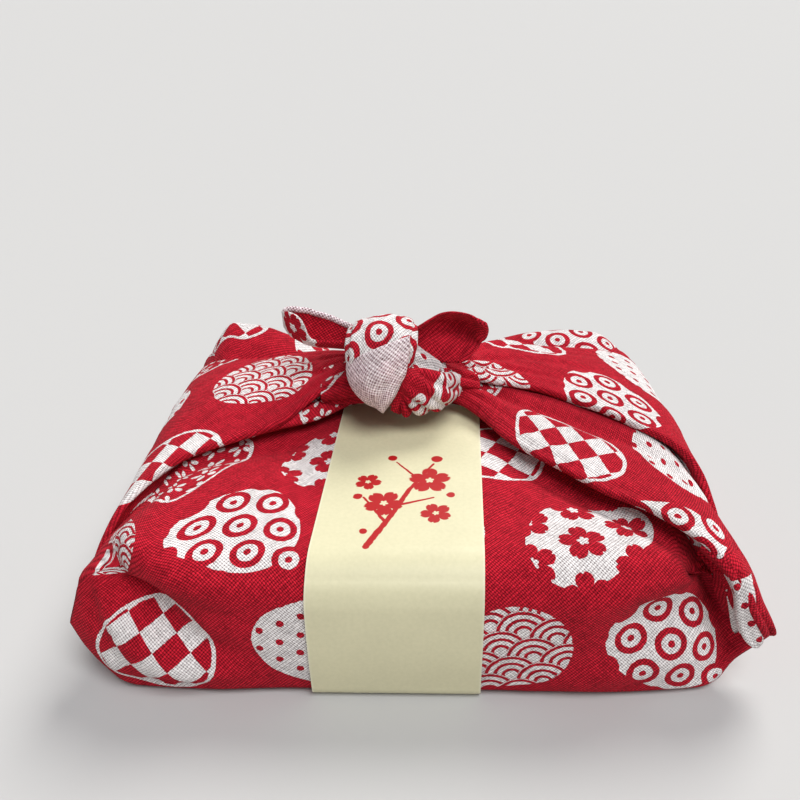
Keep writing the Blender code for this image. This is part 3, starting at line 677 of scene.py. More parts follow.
LIP = 1.3  # half the thickness of a folded edge
LIP_STEPS = 9  # points round it
TUCK = 12.0  # how far the cloth turns back under a folded edge
TUCK_DROP = 5.0  # and how far it falls away there
TUCK_SHARES = (0.0, 0.35, 0.7, 1.0)
ARM_STEP_ALONG = 1.55  # between an arm's points
ARM_STEP_ACROSS = 1.8
ARM_INSIDE = np.array([[-60.0, -20.0, 16.0], [60.0, 40.0, 16.0]])  # part of the parcel behind every arm
EDGE_WANDER = np.array([0.5, 0.5, 0.3])  # how far noise moves an arm's edges in x, y and z
PLEAT_RISE = 1.5  # how far the left pleat stands up between its edges
GATHER_REACH = 42.0  # how far from the knot the gathers run
GROOVE_FADE = 0.08  # share of an arm's length in which a groove begins or ends
LOWEST = 0.15  # the cloth's points stay this far above the ground


def folded_edge(edge, inward, out, lips, tucks):
    """Columns of points from the turned-in strip round a folded edge; inward points over the face."""
    columns = []
    for t in TUCK_SHARES:
        columns.append(edge + tucks * (1 - t) * inward - (lips + TUCK_DROP * (1 - t) ** 1.5) * out)
    for angle in np.radians(np.linspace(-90, 90, LIP_STEPS)[1:-1]):
        columns.append(edge - lips * math.cos(angle) * inward + lips * math.sin(angle) * out)
    return columns


def arm_relief(points, t, far, whole, width, seed, waves, grooves, gather):
    """How high the points stand; t is their share of the way across, far how far along the arm they are.

    waves fan out from the knot: place across the arm, spread, depth, reach.
    grooves run along it: place across, spread, depth, shares of the length where they begin and end.
    """
    height = np.zeros(points.shape[:2])
    for place, spread, depth, reach in waves:
        shift = 0.02 * np.sin(far / 9.0 + place * 20)
        height -= depth * hump(t - place - shift, spread) * hump(far, reach)
    for place, spread, depth, begins, ends in grooves:
        wander = 0.015 * np.sin(far / 11.0 + place * 9)
        begun = smooth(far / whole, begins, begins + GROOVE_FADE)
        ended = smooth(far / whole, ends - GROOVE_FADE, ends)
        height -= depth * hump(t - place - wander, spread) * begun * (1 - ended)
    pull = np.exp(-(far / GATHER_REACH) ** 1.5) * gather
    flat = 0 * far * t
    streak = np.stack([t * width * (1.2 - 0.5 * pull), flat + far / 6.0, flat + seed * 31.0], axis=-1)
    height += pull * rough(streak, seed, (1.2, 5.0), (0.6, 2.4))
    height += rough(points, seed + 2, (0.5, 22.0), (0.25, 9.0), (0.1, 4.0))
    return height * np.sin(math.pi * t) ** 0.8


def add_arm(mesh, lines, origin, turn, seed, waves=(), grooves=(), gather=1.0, printed=(0.0, 1.0)):
    """A folded panel of cloth through its three lines; printed says which part of it isn't plain red."""
    whole = lengths(np.array(lines[1]), 0)[-1]
    count = int(whole / ARM_STEP_ALONG)
    shares = np.linspace(0, 1, count)
    front, crest, back = (spline(line, shares) for line in lines)
    front = front + noise(front, 17.0, seed + 5)[:, None] * EDGE_WANDER
    back = back + noise(back, 17.0, seed + 6)[:, None] * EDGE_WANDER
    over = unit(back - front)
    out = unit(np.cross(np.gradient(crest, axis=0), over))
    facing = np.sign(np.sum(out * (crest - np.clip(crest, *ARM_INSIDE)), axis=1, keepdims=True))
    out = out * facing
    width = np.linalg.norm(back - front, axis=1, keepdims=True)
    lips = np.minimum(LIP, 0.12 * width)
    tucks = np.minimum(TUCK, 0.45 * width)
    start = front + lips * over
    end = back - lips * over
    ways = np.linspace(0, 1, max(8, int(np.max(width) / ARM_STEP_ACROSS)) + 1)
    near = folded_edge(start, over, out, lips, tucks)
    face = [arched(start, crest, end, way) + lips * out for way in ways]
    distant = folded_edge(end, -over, out, lips, tucks)[::-1]
    points = np.stack(near + face + distant, axis=1)
    t = np.concatenate([np.zeros(len(near)), ways, np.ones(len(distant))])[None, :]
    relief = arm_relief(points, t, (shares * whole)[:, None], whole, width, seed, waves, grooves, gather)
    points = points + out[:, None, :] * relief[..., None]
    points[..., 2] = np.maximum(points[..., 2], LOWEST)
    u = lengths(points, 1)
    u = u - u[:, u.shape[1] // 2][:, None]
    uv = print_uv(origin, u, lengths(crest[:, None], 0), turn)
    flip = bool(facing[count // 2, 0] < 0)
    first, last = (int(share * (count - 1)) for share in printed)
    for a, b, slot in ((0, first, PLAIN), (first, last, PRINTED), (last, count - 1, PLAIN)):
        if b > a:
            mesh.grid(points[a:b + 1], uv[a:b + 1], slot=slot, flip=flip)


def add_arms(mesh):
    front, back = np.array(LEFT_PLEAT)
    pleat = (front, (front + back) / 2 + (0.0, 0.0, PLEAT_RISE), back)
    add_arm(mesh, pleat, PRINT_ON["left pleat"], 20.0, seed=60)
    add_arm(mesh, LEFT_ARM, PRINT_ON["left arm"], 90.0, seed=20,
            waves=((0.12, 0.05, 1.6, 60), (0.45, 0.07, 1.4, 60), (0.75, 0.06, 1.3, 55)),
            grooves=((0.93, 0.03, 0.9, 0.1, 0.6),))
    add_arm(mesh, RIGHT_ROLL, PRINT_ON["right roll"], -60.0, seed=30,
            waves=((0.3, 0.06, 1.2, 60), (0.6, 0.08, 1.0, 70)),
            grooves=((0.34, 0.05, 2.4, 0.68, 1), (0.08, 0.04, 0.8, 0.2, 0.7), (0.69, 0.06, 3, 0.08, 0.72)),
            printed=(0.0, 0.695))
    add_arm(mesh, TONGUE, PRINT_ON["tongue"], 0.0, seed=50, gather=0.0,
            printed=(0.22, 1.0))
    add_arm(mesh, RIGHT_ARM, PRINT_ON["right arm"], -95.0, seed=40,
            waves=((0.25, 0.05, 1.5, 70), (0.5, 0.06, 1.2, 60), (0.8, 0.05, 1.3, 80)),
            grooves=((0.9, 0.03, 1.1, 0.15, 0.62), (0.12, 0.04, 0.7, 0.2, 0.6)))


# ---- the knot's strands

LOOP_GRID = (108, 72)  # points along a loop and round it
LOOP_TOP = (66.0, 80.0)  # z range over which a loop's tilt comes in
CORE_GRID = (48, 60)


def add_loop(mesh, rows, origin, turn, pleats, seed, tilt=0.0):
    """A strand of gathered cloth that loops round the knot's core; pleats are (angle, width, depth)."""
    count, around = LOOP_GRID
    curve = closed_spline(rows, count)
    centre = curve[:, :3]
    away = centre - centre.mean(axis=0)
    away[:, 0] = 0
    away = unit(away)[:, None, :]
    angle = np.linspace(0, 2 * math.pi, around, endpoint=False)[None, :]
    points = centre[:, None, :] + away * (curve[:, 4:5] * np.sin(angle))[..., None]
    points[..., 0] += curve[:, 3:4] * squared(np.cos(angle), 0.85)
    points[..., 2] += tilt * np.cos(angle) * smooth(centre[:, 2:3], *LOOP_TOP)
    ring = np.arange(count)[:, None] / count * 2 * math.pi
    normal = away * np.sin(angle)[..., None]
    normal[..., 0] = np.cos(angle)
    height = rough(points, seed, (0.35, 7.0), (0.15, 3.0))
    for place, spread, depth in pleats:
        wander = place + 6.0 * np.sin(ring * 2 + place) + 4.0 * np.sin(ring * 3 + place * 2)
        gap = (np.degrees(angle) - wander + 180) % 360 - 180
        height -= depth * hump(gap, spread)
    points = points + normal * height[..., None]
    points = np.concatenate([points, points[:, :1]], axis=1)
    u = lengths(points, 1)
    v = lengths(np.concatenate([centre, centre[:1]])[:, None], 0)
    mesh.grid(points, print_uv(origin, np.vstack([u, u[:1]]), v, turn), closed=True)


def add_core(mesh, rows, origin):
    """The strand that runs across under the loops, with fine gathers along it."""
    count, around = CORE_GRID
    curve = spline(rows, np.linspace(0, 1, count))
    x = curve[:, 0:1]
    angle = np.linspace(0, 2 * math.pi, around + 1)[None, :]
    gathers = 0.72 * np.sin(angle * 7 + x * 0.05) + 0.4 * np.sin(angle * 12 + 1.0 + x * 0.1)
    y = curve[:, 1:2] + curve[:, 3:4] * squared(np.cos(angle), 0.8) + gathers * np.cos(angle)
    z = curve[:, 2:3] + curve[:, 4:5] * squared(np.sin(angle), 0.8) + gathers * np.sin(angle)
    points = np.stack([x + 0 * y, y, z], axis=-1)
    points[:, -1] = points[:, 0]
    uv = print_uv(origin, lengths(points, 1), lengths(curve[:, None, :3], 0))
    mesh.grid(points, uv, flip=True)


# ---- the knot's flap, lobe and tails

RIGHT_TAIL_SWELL = ((0, 1.5, 0), (0, 4, 0.5), (0.5, 6, 1.5), (1.5, 6, 1.5), (3.4, 3, 0))
RIGHT_TAIL_LENGTH = 27.0  # measured along the cloth, as the sizes below are
RIGHT_TAIL_WIDTH = 17.0
RIGHT_TAIL_HEM = 3.0
LEFT_TAIL_LENGTH = 34.0
LEFT_TAIL_HEM_RADIUS = 1.15
LEFT_TAIL_HEM_START = 3  # the row of points where it comes out of the knot
HEM_TAPER = 16.3  # the larger, the shorter a hem's rounded ends
HEM_AROUND = 12
FLAP_LENGTH = 26.0
FLAP_WIDTH = 24.0
LOBE_WIDTH = 20.0
LOBE_ROUND = (2.4, 3.0)  # how far the lobe's edges curl back, and over what width
ROUND_OVER = 0.9  # width over which a sheet thins out to its edge


def rails(low, middle, high, along, across):
    """A patch through three rails: its points, and their shares of the way along and across."""
    share = np.linspace(0, 1, along)[:, None]
    t = np.linspace(0, 1, across)[None, :]
    a, m, b = (spline(rows, share[:, 0])[:, None, :] for rows in (low, middle, high))
    return arched(a, m, b, t[..., None]), share, t


def normals(points, towards):
    """Unit normals of a patch of points, on the side that faces this way at its middle."""
    normal = unit(np.cross(np.gradient(points, axis=0), np.gradient(points, axis=1)))
    middle = normal[len(points) // 2, points.shape[1] // 2]
    return normal if middle @ np.array(towards) > 0 else -normal


def rim_half(rim, thick):
    """Half a sheet's thickness, which fades to nothing at its rim; rim is the distance from it."""
    return thick * np.sqrt(ramp(rim, 0.0, ROUND_OVER))


def add_leaf(mesh, points, towards, half, origin, slots, turn=0.0):
    """A sheet with two faces, half its thickness each way from the points; slots has that side's first."""
    normal = normals(points, towards)
    uv = print_uv(origin, lengths(points, 0), lengths(points, 1), turn)
    raw = np.cross(points[1, 0] - points[0, 0], points[0, 1] - points[0, 0])
    flip = bool(raw @ normal[0, 0] < 0)
    mesh.grid(points + normal * half[..., None], uv, slot=slots[0], flip=flip)
    mesh.grid(points - normal * half[..., None], uv, slot=slots[1], flip=not flip)


def add_right_tail(mesh):
    """A free end that opens like a leaf towards the front, with a hem along its end."""
    top = np.array(RIGHT_TAIL_TOP)
    foot = np.array(RIGHT_TAIL_FOOT)
    points, share, t = rails(foot, (top + foot) / 2 + RIGHT_TAIL_SWELL, top, 58, 40)
    from_end = (1 - share) * RIGHT_TAIL_LENGTH
    lip = 2.0 * hump(t - 0.2, 0.1) * np.sin(math.pi * share) - 1.6 * hump(t - 0.36, 0.09) * share
    hollow = 2.2 * hump(share - 0.66, 0.14) * hump(t - 0.5, 0.25)
    curl = 2.0 * smooth(share, 0.8, 0.94)
    points[..., 1] += hollow - curl - lip - rough(points, 90, (0.6, 8.0), (0.25, 3.5))
    hem = smooth(from_end, RIGHT_TAIL_HEM + 0.6, RIGHT_TAIL_HEM)
    rim = np.minimum(from_end, np.minimum(t, 1 - t) * RIGHT_TAIL_WIDTH)
    half = rim_half(rim, 0.55 + 0.4 * hem)
    add_leaf(mesh, points, (0, -1, 0), half, PRINT_ON["right tail"], (PLAIN, PLAIN))


def add_left_tail(mesh):
    """A free end folded into a trough: high at the back, low in front, closed at its outer end."""
    share = np.linspace(0, 1, 62)[:, None]
    turn = np.linspace(0, math.pi, 50)[None, :]
    curve = spline(LEFT_TAIL, share[:, 0])
    x, back_top, low, front_top, back_y, front_y = (curve[:, i:i + 1] for i in range(6))
    top = np.where(turn < math.pi / 2, back_top, front_top)
    z = low + (top - low) * (1 - np.sin(turn)) ** 0.75
    y = (back_y + front_y) / 2 + (back_y - front_y) / 2 * squared(np.cos(turn), 0.7)
    points = np.stack([x + 0 * turn, y, z], axis=-1)
    points += rough(points, 95, (0.5, 7.0), (0.2, 3.0))[..., None] * np.array([0.3, 1.0, 0.4])
    run = lengths(points, 1)
    rim = np.minimum(np.minimum(run, run[:, -1:] - run), (1 - share) * LEFT_TAIL_LENGTH)
    slots = (PRINTED, PLAIN)
    add_leaf(mesh, points, (0, 0, -1), rim_half(rim, 0.5), PRINT_ON["left tail"], slots, turn=90.0)
    add_hem(mesh, points[LEFT_TAIL_HEM_START:, 0] + (0.0, -0.2, -0.3), LEFT_TAIL_HEM_RADIUS)


def add_hem(mesh, line, radius):
    """A rolled hem along a free edge, the cloth's reverse side outermost."""
    forward = unit(np.gradient(line, axis=0))
    side = unit(np.cross(forward, (0.0, 0.0, 1.0)))
    up = np.cross(side, forward)
    angle = np.linspace(0, 2 * math.pi, HEM_AROUND)[None, :, None]
    share = np.linspace(0, 1, len(line))
    thick = radius * np.sqrt(np.minimum(1.0, HEM_TAPER * share * (1 - share)))[:, None, None]
    points = line[:, None, :] + thick * (0.7 * side[:, None] * np.cos(angle) + up[:, None] * np.sin(angle))
    mesh.grid(points, print_uv(PRINT_ON["hem"], lengths(points, 0), lengths(points, 1)), slot=REVERSE)


def add_flap(mesh):
    """The light reverse-side corner that wraps over the knot's front, with a hem down its right side."""
    points, share, t = rails(FLAP_LEFT, FLAP_MIDDLE, FLAP_RIGHT, 66, 54)
    width = FLAP_WIDTH * (1 - share) + 0.4
    from_right = (1 - t) * width
    height = rough(points, 9, (0.45, 8.0), (0.16, 3.5)) + 0.5 * hump(from_right, 1.6)
    height -= 0.7 * hump(from_right - 3.2, 1.5) * share
    points = points + normals(points, (0, -1, 0)) * (height * np.minimum(1, width / 8.0))[..., None]
    rim = np.minimum(np.minimum(t, 1 - t) * width, share * FLAP_LENGTH)
    slots = (REVERSE, REVERSE)
    add_leaf(mesh, points, (0, -1, 0), rim_half(rim, 0.8), PRINT_ON["flap"], slots, turn=8.0)


def add_lobe(mesh):
    """Gathered cloth that fans out to the right from under the flap's tip."""
    points, share, t = rails(LOBE_LOW, LOBE_MIDDLE, LOBE_HIGH, 60, 64)
    towards = (0, -1, 0.2)
    normal = normals(points, towards)
    rim = np.minimum(t, 1 - t) * LOBE_WIDTH + 0 * share
    height = rough(points, 80, (0.3, 6.0), (0.15, 3.0)) + pressed(points, LOBE_CREASES)
    height -= LOBE_ROUND[0] * (1 - np.sqrt(ramp(rim, 0.0, LOBE_ROUND[1])))
    points = points + normal * height[..., None]
    slots = (PRINTED, PRINTED)
    add_leaf(mesh, points, towards, rim_half(rim, 0.6), PRINT_ON["lobe"], slots, turn=20.0)


def make_cloth():
    mesh = Mesh()
    add_body(mesh)
    add_under_layer(mesh)
    add_arms(mesh)
    add_core(mesh, CORE_STRAND, PRINT_ON["core"])
    pleats = ((60.0, 7.0, 0.5), (118.0, 8.0, 0.5), (20.0, 7.0, 0.9), (155.0, 6.0, 0.7))
    add_loop(mesh, WRAP_STRAND, PRINT_ON["wrap"], 0.0, pleats, seed=70, tilt=0.9)
    pleats = ((45.0, 7.0, 1.0), (125.0, 7.0, 1.0))
    add_loop(mesh, LOBE_STRAND, PRINT_ON["lobe strand"], 30.0, pleats, seed=80)
    add_lobe(mesh)
    add_right_tail(mesh)
    add_left_tail(mesh)
    add_flap(mesh)
    return mesh.build("wrap_cloth")


# ---- the paper band

BAND_GAP = 0.5
BAND_THICKNESS = 0.4
BAND_EDGE_RADIUS = 4.0
PAPER_WIDTH = 51.0
PAPER_CENTRE_X = -2.0  # where the paper sits on the cloth, and how far its ends lean to each side
PAPER_SHIFT = 3.0
FACE_STEPS = 40
TOP_STEPS = 90
EDGE_STEPS = 8


def band_path(offset):
    """The band's loop as (y, z), this far off the cloth: up the front, over, down the back and under."""
    up = np.linspace(BAND_EDGE_RADIUS + 1.0, PARCEL_HEIGHT, FACE_STEPS)
    over = np.linspace(-HALF_DEPTH, HALF_DEPTH, TOP_STEPS)[1:-1]
    box = [(BAND_CENTRE_X, -HALF_DEPTH, z) for z in up]
    box += [(BAND_CENTRE_X, y, PARCEL_HEIGHT) for y in over]
    box += [(BAND_CENTRE_X, HALF_DEPTH, z) for z in up[::-1]]
    skin = body(box, creased=False)[:, 1:]
    forward = unit(np.gradient(skin, axis=0))
    path = skin + np.stack([-forward[:, 1], forward[:, 0]], axis=1) * offset
    front_y = path[0, 0] + BAND_EDGE_RADIUS
    back_y = path[-1, 0] - BAND_EDGE_RADIUS
    low_z = BAND_THICKNESS + BAND_GAP - offset
    angle = np.linspace(0.0, math.pi / 2, EDGE_STEPS)
    drop = low_z + BAND_EDGE_RADIUS * (1 - np.sin(angle))
    back_edge = np.stack([back_y + BAND_EDGE_RADIUS * np.cos(angle), drop], axis=1)
    front_edge = np.stack([front_y - BAND_EDGE_RADIUS * np.cos(angle), drop], axis=1)[::-1]
    under_y = np.linspace(back_y, front_y, FACE_STEPS)[1:-1]
    under = np.stack([under_y, np.full_like(under_y, low_z)], axis=1)
    return np.vstack([path, back_edge, under, front_edge])


def make_band():
    mesh = Mesh()
    inner = band_path(BAND_GAP)
    outer = band_path(BAND_GAP + BAND_THICKNESS)
    run = lengths(np.vstack([outer, outer[:1]])[:, None], 0)
    half = PAPER_WIDTH / 2
    across = np.linspace(-half, half, 21)

    def place(path, xs):
        """The points of a loop's path at these distances from the paper's middle."""
        points = np.zeros((len(path), len(xs), 3))
        points[..., 0] = (PAPER_CENTRE_X + PAPER_SHIFT * path[:, 0] / HALF_DEPTH)[:, None] + xs
        points[..., 1:] = path[:, None, :]
        return points

    def add(points, xs, flip):
        uv = np.stack(np.broadcast_arrays(xs, run), axis=-1)
        mesh.grid(points, uv, closed=True, flip=flip)

    add(place(outer, across), across, True)
    add(place(inner, across), across, False)
    for x, flip in ((-half, True), (half, False)):
        xs = np.array([x])
        add(np.concatenate([place(inner, xs), place(outer, xs)], axis=1), np.array([x, x]), flip)
    made = mesh.build("band_paper")
    made.data.set_sharp_from_angle(angle=math.radians(50))
    return made


# ---- node maths

DIAGONAL = 0.7071  # one over the square root of 2


def maths(operation):
    """A method that adds one maths node."""
    def call(self, *others):
        return self.node(operation, *others)
    return call


class Value:
    """A number in a node tree; + - * / and the calls below add the nodes for it."""

    def __init__(self, tree, socket):
        self.tree = tree
        self.socket = socket

    def node(self, operation, *others, clamp=False):
        made = self.tree.nodes.new("ShaderNodeMath")
        made.operation = operation
        made.use_clamp = clamp
        for i, value in enumerate((self,) + others):
            if isinstance(value, Value):
                self.tree.links.new(value.socket, made.inputs[i])
            else:
                made.inputs[i].default_value = float(value)
        return Value(self.tree, made.outputs[0])

    __add__ = __radd__ = maths("ADD")
    __mul__ = __rmul__ = maths("MULTIPLY")
    __sub__ = maths("SUBTRACT")
    __truediv__ = maths("DIVIDE")
    __abs__ = maths("ABSOLUTE")
    floor = maths("FLOOR")
    nearest = maths("ROUND")
    fract = maths("FRACT")
    sin = maths("SINE")
    cos = maths("COSINE")
    sqrt = maths("SQRT")
    high = maths("MAXIMUM")
    is_near = maths("COMPARE")

    def __rsub__(self, other):
        return (self * -1.0) + other

    def odd(self):
        """0.5 where this whole number is odd, else 0."""
        return (self * 0.5).fract()

    def ramp(self, low, high):
        """0 at low to 1 at high; low may be the larger."""
        k = 1.0 / (high - low)
        return self.node("MULTIPLY_ADD", k, -low * k, clamp=True)


def length(x, y):
    return (x * x + y * y).sqrt()


def direction(x, y):
    return y.node("ARCTAN2", x)


def turned(x, y, angle):
    c, s = angle.cos(), angle.sin()
    return x * c - y * s, x * s + y * c


def lattice(x, y, pitch_x, pitch_y):
    """Offsets from the nearest point of a staggered lattice."""
    row = (y / pitch_y).nearest()
    shifted = x / pitch_x + row.odd()
    return (shifted - shifted.nearest()) * pitch_x, (y / pitch_y - row) * pitch_y


class Tree:
    """A material, with the calls that add its nodes."""

    def __init__(self, name, roughness, specular):
        self.material = bpy.data.materials.new(name)
        self.material.use_nodes = True
        self.tree = self.material.node_tree
        self.shader = self.tree.nodes["Principled BSDF"]
        self.shader.inputs["Roughness"].default_value = roughness
        self.shader.inputs["Specular IOR Level"].default_value = specular

    def add(self, kind, **settings):
        made = self.tree.nodes.new(kind)
        for name, value in settings.items():
            setattr(made, name, value)
        return made

    def feed(self, socket, value):
        """Give a socket a Value, another node's socket, a colour or a number."""
        if isinstance(value, Value):
            self.tree.links.new(value.socket, socket)
        elif isinstance(value, tuple):
            socket.default_value = (*value, 1.0)
        elif isinstance(value, float):
            socket.default_value = value
        else:
            self.tree.links.new(value, socket)

    def uv(self):
        """The UV map in millimetres."""
        source = self.add("ShaderNodeUVMap", uv_map="UVMap")
        split = self.add("ShaderNodeSeparateXYZ")
        self.feed(split.inputs[0], source.outputs[0])
        return [Value(self.tree, socket) * 1000.0 for socket in split.outputs[:2]]

    def vector(self, *parts):
        made = self.add("ShaderNodeCombineXYZ")
        for socket, value in zip(made.inputs, parts):
            self.feed(socket, value)
        return made.outputs[0]

    def random(self, x, y, seed):
        """Four random numbers, 0 to 1, for each x, y."""
        made = self.add("ShaderNodeTexWhiteNoise", noise_dimensions="3D")
        self.feed(made.inputs["Vector"], self.vector(x, y, seed))
        split = self.add("ShaderNodeSeparateColor")
        self.feed(split.inputs[0], made.outputs["Color"])
        return [Value(self.tree, socket) for socket in (made.outputs["Value"], *split.outputs)]

    def noise(self, x, y, scale, detail, seed):
        made = self.add("ShaderNodeTexNoise", noise_dimensions="3D")
        self.feed(made.inputs["Scale"], scale)
        self.feed(made.inputs["Detail"], detail)
        self.feed(made.inputs["Vector"], self.vector(x, y, seed))
        return Value(self.tree, made.outputs[0])

    def mix(self, share, a, b):
        """The colour a share of the way from a to b."""
        made = self.add("ShaderNodeMix", data_type="RGBA")
        for i, value in ((0, share), (6, a), (7, b)):
            self.feed(made.inputs[i], value)
        return made.outputs[2]

    def shade(self, colour, amount):
        """The colour times a number."""
        made = self.add("ShaderNodeVectorMath", operation="SCALE")
        self.feed(made.inputs[0], colour)
        self.feed(made.inputs["Scale"], amount)
        return made.outputs[0]

    def finish(self, colour, height, distance, strength):
        """Set the surface's colour and its bumps."""
        made = self.add("ShaderNodeBump")
        self.feed(made.inputs["Strength"], strength)
        self.feed(made.inputs["Distance"], distance)
        self.feed(made.inputs["Height"], height)
        self.feed(self.shader.inputs["Normal"], made.outputs[0])
        self.feed(self.shader.inputs["Base Color"], colour)
        return self.material


# ---- the printed patterns

SHARP = (-0.12, 0.15)  # a print edge's blur, mm each side
WAVE_RISE = 0.62  # a row of wave circles above the last, in radii


def fold_angle(theta, count):
    """The angle from the nearest of count evenly spaced directions."""
    turn = theta * (count / (2 * math.pi))
    return (turn - turn.nearest()) * (2 * math.pi / count)


def flower(x, y, size, eye=0.16):
    """A five-petalled blossom: 1 inside its petals."""
    r = length(x, y) / size
    theta = direction(x, y)
    petal = abs((theta * 2.5).cos())
    notch = 1.0 - abs((theta * 2.5).sin()).ramp(0.0, 0.22)
    edge = petal.sqrt() * 0.5 + 0.5 - notch * 0.1
    centre = r - petal * (eye * 0.6) - eye * 0.6
    return (edge - r).ramp(-0.03, 0.04) * centre.ramp(0.0, 0.04)


def wave_scales(x, y, size=8.4, pitch=2.5):
    """Overlapping wave circles: 1 on the lines."""
    rise = size * WAVE_RISE
    level = (y / rise).floor()
    best = None
    for step in (1.0, 0.0, -1.0):
        row = level + step
        across = x / (2 * size) + row.odd()
        away = length((across - across.nearest()) * (2 * size), y - row * rise)
        inside = (size - away).ramp(0.0, 0.15)
        best = away if best is None else inside * away + (1.0 - inside) * best
    line = abs(((size - best) / pitch).fract() - 0.36)
    return (0.23 - line).ramp(-0.03, 0.05) * (best - 1.6).ramp(0.0, 0.3)


def oval(x, y, style):
    """Distance in mm outside an uneven oval's edge, minus inside."""
    theta = direction(x, y)
    lobes = (theta * 2.0 + style * 6.0).sin() * 0.07 + (theta * 3.0 + style * 17.0).sin() * 0.05
    return (length(x / BLOB[0], y / BLOB[1]) - lobes - 1.0) * (sum(BLOB) / 2)


class Patch:
    """One printed oval: x and y from its middle, its style, and 1 in its inside and in its outline."""

    def __init__(self, x, y, style):
        edge = oval(x, y, style)
        self.x = x
        self.y = y
        self.style = style
        self.inside = edge.ramp(0.12, -0.12)
        self.outline = (0.6 - abs(edge + 0.7)).ramp(*SHARP)


def wave_fill(patch):
    return patch.inside * (1.0 - wave_scales(patch.x, patch.y))


def ring_fill(patch):
    """Ringed dots; the white ring round a dot near the edge stays whole beyond it."""
    x, y = lattice(patch.x, patch.y, 12.6, 10.9)
    away = length(x, y)
    white_ring = (1.0 - abs(away - 2.1)).ramp(*SHARP)
    whole = oval(patch.x - x, patch.y - y, patch.style).ramp(2.2, 1.9)
    return (patch.inside * (away - 5.1).ramp(*SHARP)).high(white_ring * whole)


def petal_fill(patch):
    """Rosettes of five small seed-like petals, white on red."""
    x, y = lattice(patch.x, patch.y, 9.4, 8.1)
    r = length(x, y)
    away = fold_angle(direction(x, y), 5)
    size = length((r * away.cos() - 2.45) / 1.5, r * away.sin() / 0.85)
    return patch.outline.high(patch.inside * (1.0 - size).ramp(-0.1, 0.15))


def blossom_fill(patch):
    x, y = lattice(patch.x + 4.0, patch.y + 2.0, 17.5, 15.0)
    return patch.inside * (1.0 - flower(x, y, 7.2, 0.2))


def check_fill(patch):
    """Checks turned 45 degrees."""
    column = ((patch.x + patch.y) * (DIAGONAL / 8.2)).floor()
    row = ((patch.x - patch.y) * (DIAGONAL / 8.2)).floor()
    return patch.outline.high(patch.inside * (column + row).odd() * 2.0)


def spot_fill(patch):
    x, y = lattice(patch.x, patch.y, 7.0, 6.0)
    return patch.inside * (length(x, y) - 1.15).ramp(*SHARP)


FILLS = (wave_fill, ring_fill, petal_fill, blossom_fill, check_fill, spot_fill)  # in the order of PATTERNS


def medallions(t, x, y):
    """The print: 1 where the cotton is left white."""
    fray = t.noise(x, y, 1.1, 1.0, 5.0) - 0.5
    x = x + fray * 0.45
    y = y - fray * 0.45
    pitch_x, pitch_y = PRINT_PITCH
    row = (y / pitch_y).floor()
    shifted = x / pitch_x + row.odd()
    column = shifted.floor()
    style, spin, slide_x, slide_y = t.random(column, row, 4.0)
    from_x = (shifted - column - 0.5) * pitch_x + (slide_x - 0.5) * 3.0
    from_y = (y / pitch_y - row - 0.5) * pitch_y + (slide_y - 0.5) * 2.5
    patch = Patch(*turned(from_x, from_y, (spin - 0.5) * 1.5), style)
    chosen = (((column + row * 2.0) / len(FILLS) + 0.02).fract() * len(FILLS)).floor()
    total = 0.0
    for i, fill in enumerate(FILLS):
        total = chosen.is_near(float(i), 0.5) * fill(patch) + total
    return total.node("ADD", 0.0, clamp=True)


# ---- the cotton

THREAD = (0.68, 0.96)  # from one thread to the next, warp and weft
# Painted shade in the cotton: RED, WHITE and PINK colour the lit crowns of the threads. The colour after
# each is painted shade in the hollows between threads, and the one after that is painted shade seen
# through the holes between them.
RED = (0.60, 0.015, 0.034)
RED_SHADE = (0.17, 0.002, 0.007)
RED_GAP_SHADE = (0.035, 0.0, 0.002)
WHITE = (0.80, 0.765, 0.75)
WHITE_SHADE = (0.44, 0.38, 0.38)
WHITE_GAP_SHADE = (0.06, 0.03, 0.035)
PINK = (0.86, 0.77, 0.79)
PINK_SHADE = (0.58, 0.40, 0.44)
PINK_GAP_SHADE = (0.10, 0.01, 0.02)


def weave(t, x, y, coarse, loose):
    """Slubby open plain weave set at 45 degrees: (height, holes between threads, streaks)."""
    drift = t.noise(x, y, 0.045, 1.0, 3.0) - 0.5
    a = (x + y) * (DIAGONAL / (THREAD[0] * coarse)) + drift * 2.6
    b = (x - y) * (DIAGONAL / (THREAD[1] * coarse)) - drift * 2.0
    row_a = a.floor()
    row_b = b.floor()
    slub_a = t.noise(row_a, b * 0.13, 1.7, 1.0, 1.0).ramp(0.28, 0.72)
    slub_b = t.noise(a * 0.1, row_b, 1.7, 1.0, 2.0).ramp(0.28, 0.72)
    round_a = (a.fract() * math.pi).sin()
    round_b = (b.fract() * math.pi).sin()
    over = (row_a + row_b).odd() * 2.0
    top = round_b + over * (round_a - round_b)
    side = round_a + round_b - top
    slub = slub_b + over * (slub_a - slub_b)
    height = top * (side * 0.45 + 0.55) * (slub * 0.4 + 0.75)
    chance = t.random(a.nearest(), b.nearest(), 6.0)[0]
    slit = (round_a * (slub_a * 0.5 + 0.75)).ramp(0.6 + loose, 0.2 + loose)
    gap = (round_b * (slub_b * 0.3 + 0.85)).ramp(0.92 + loose * 0.2, 0.55 + loose * 0.2)
    return height, slit * gap * (chance * 0.75 + 0.25), slub


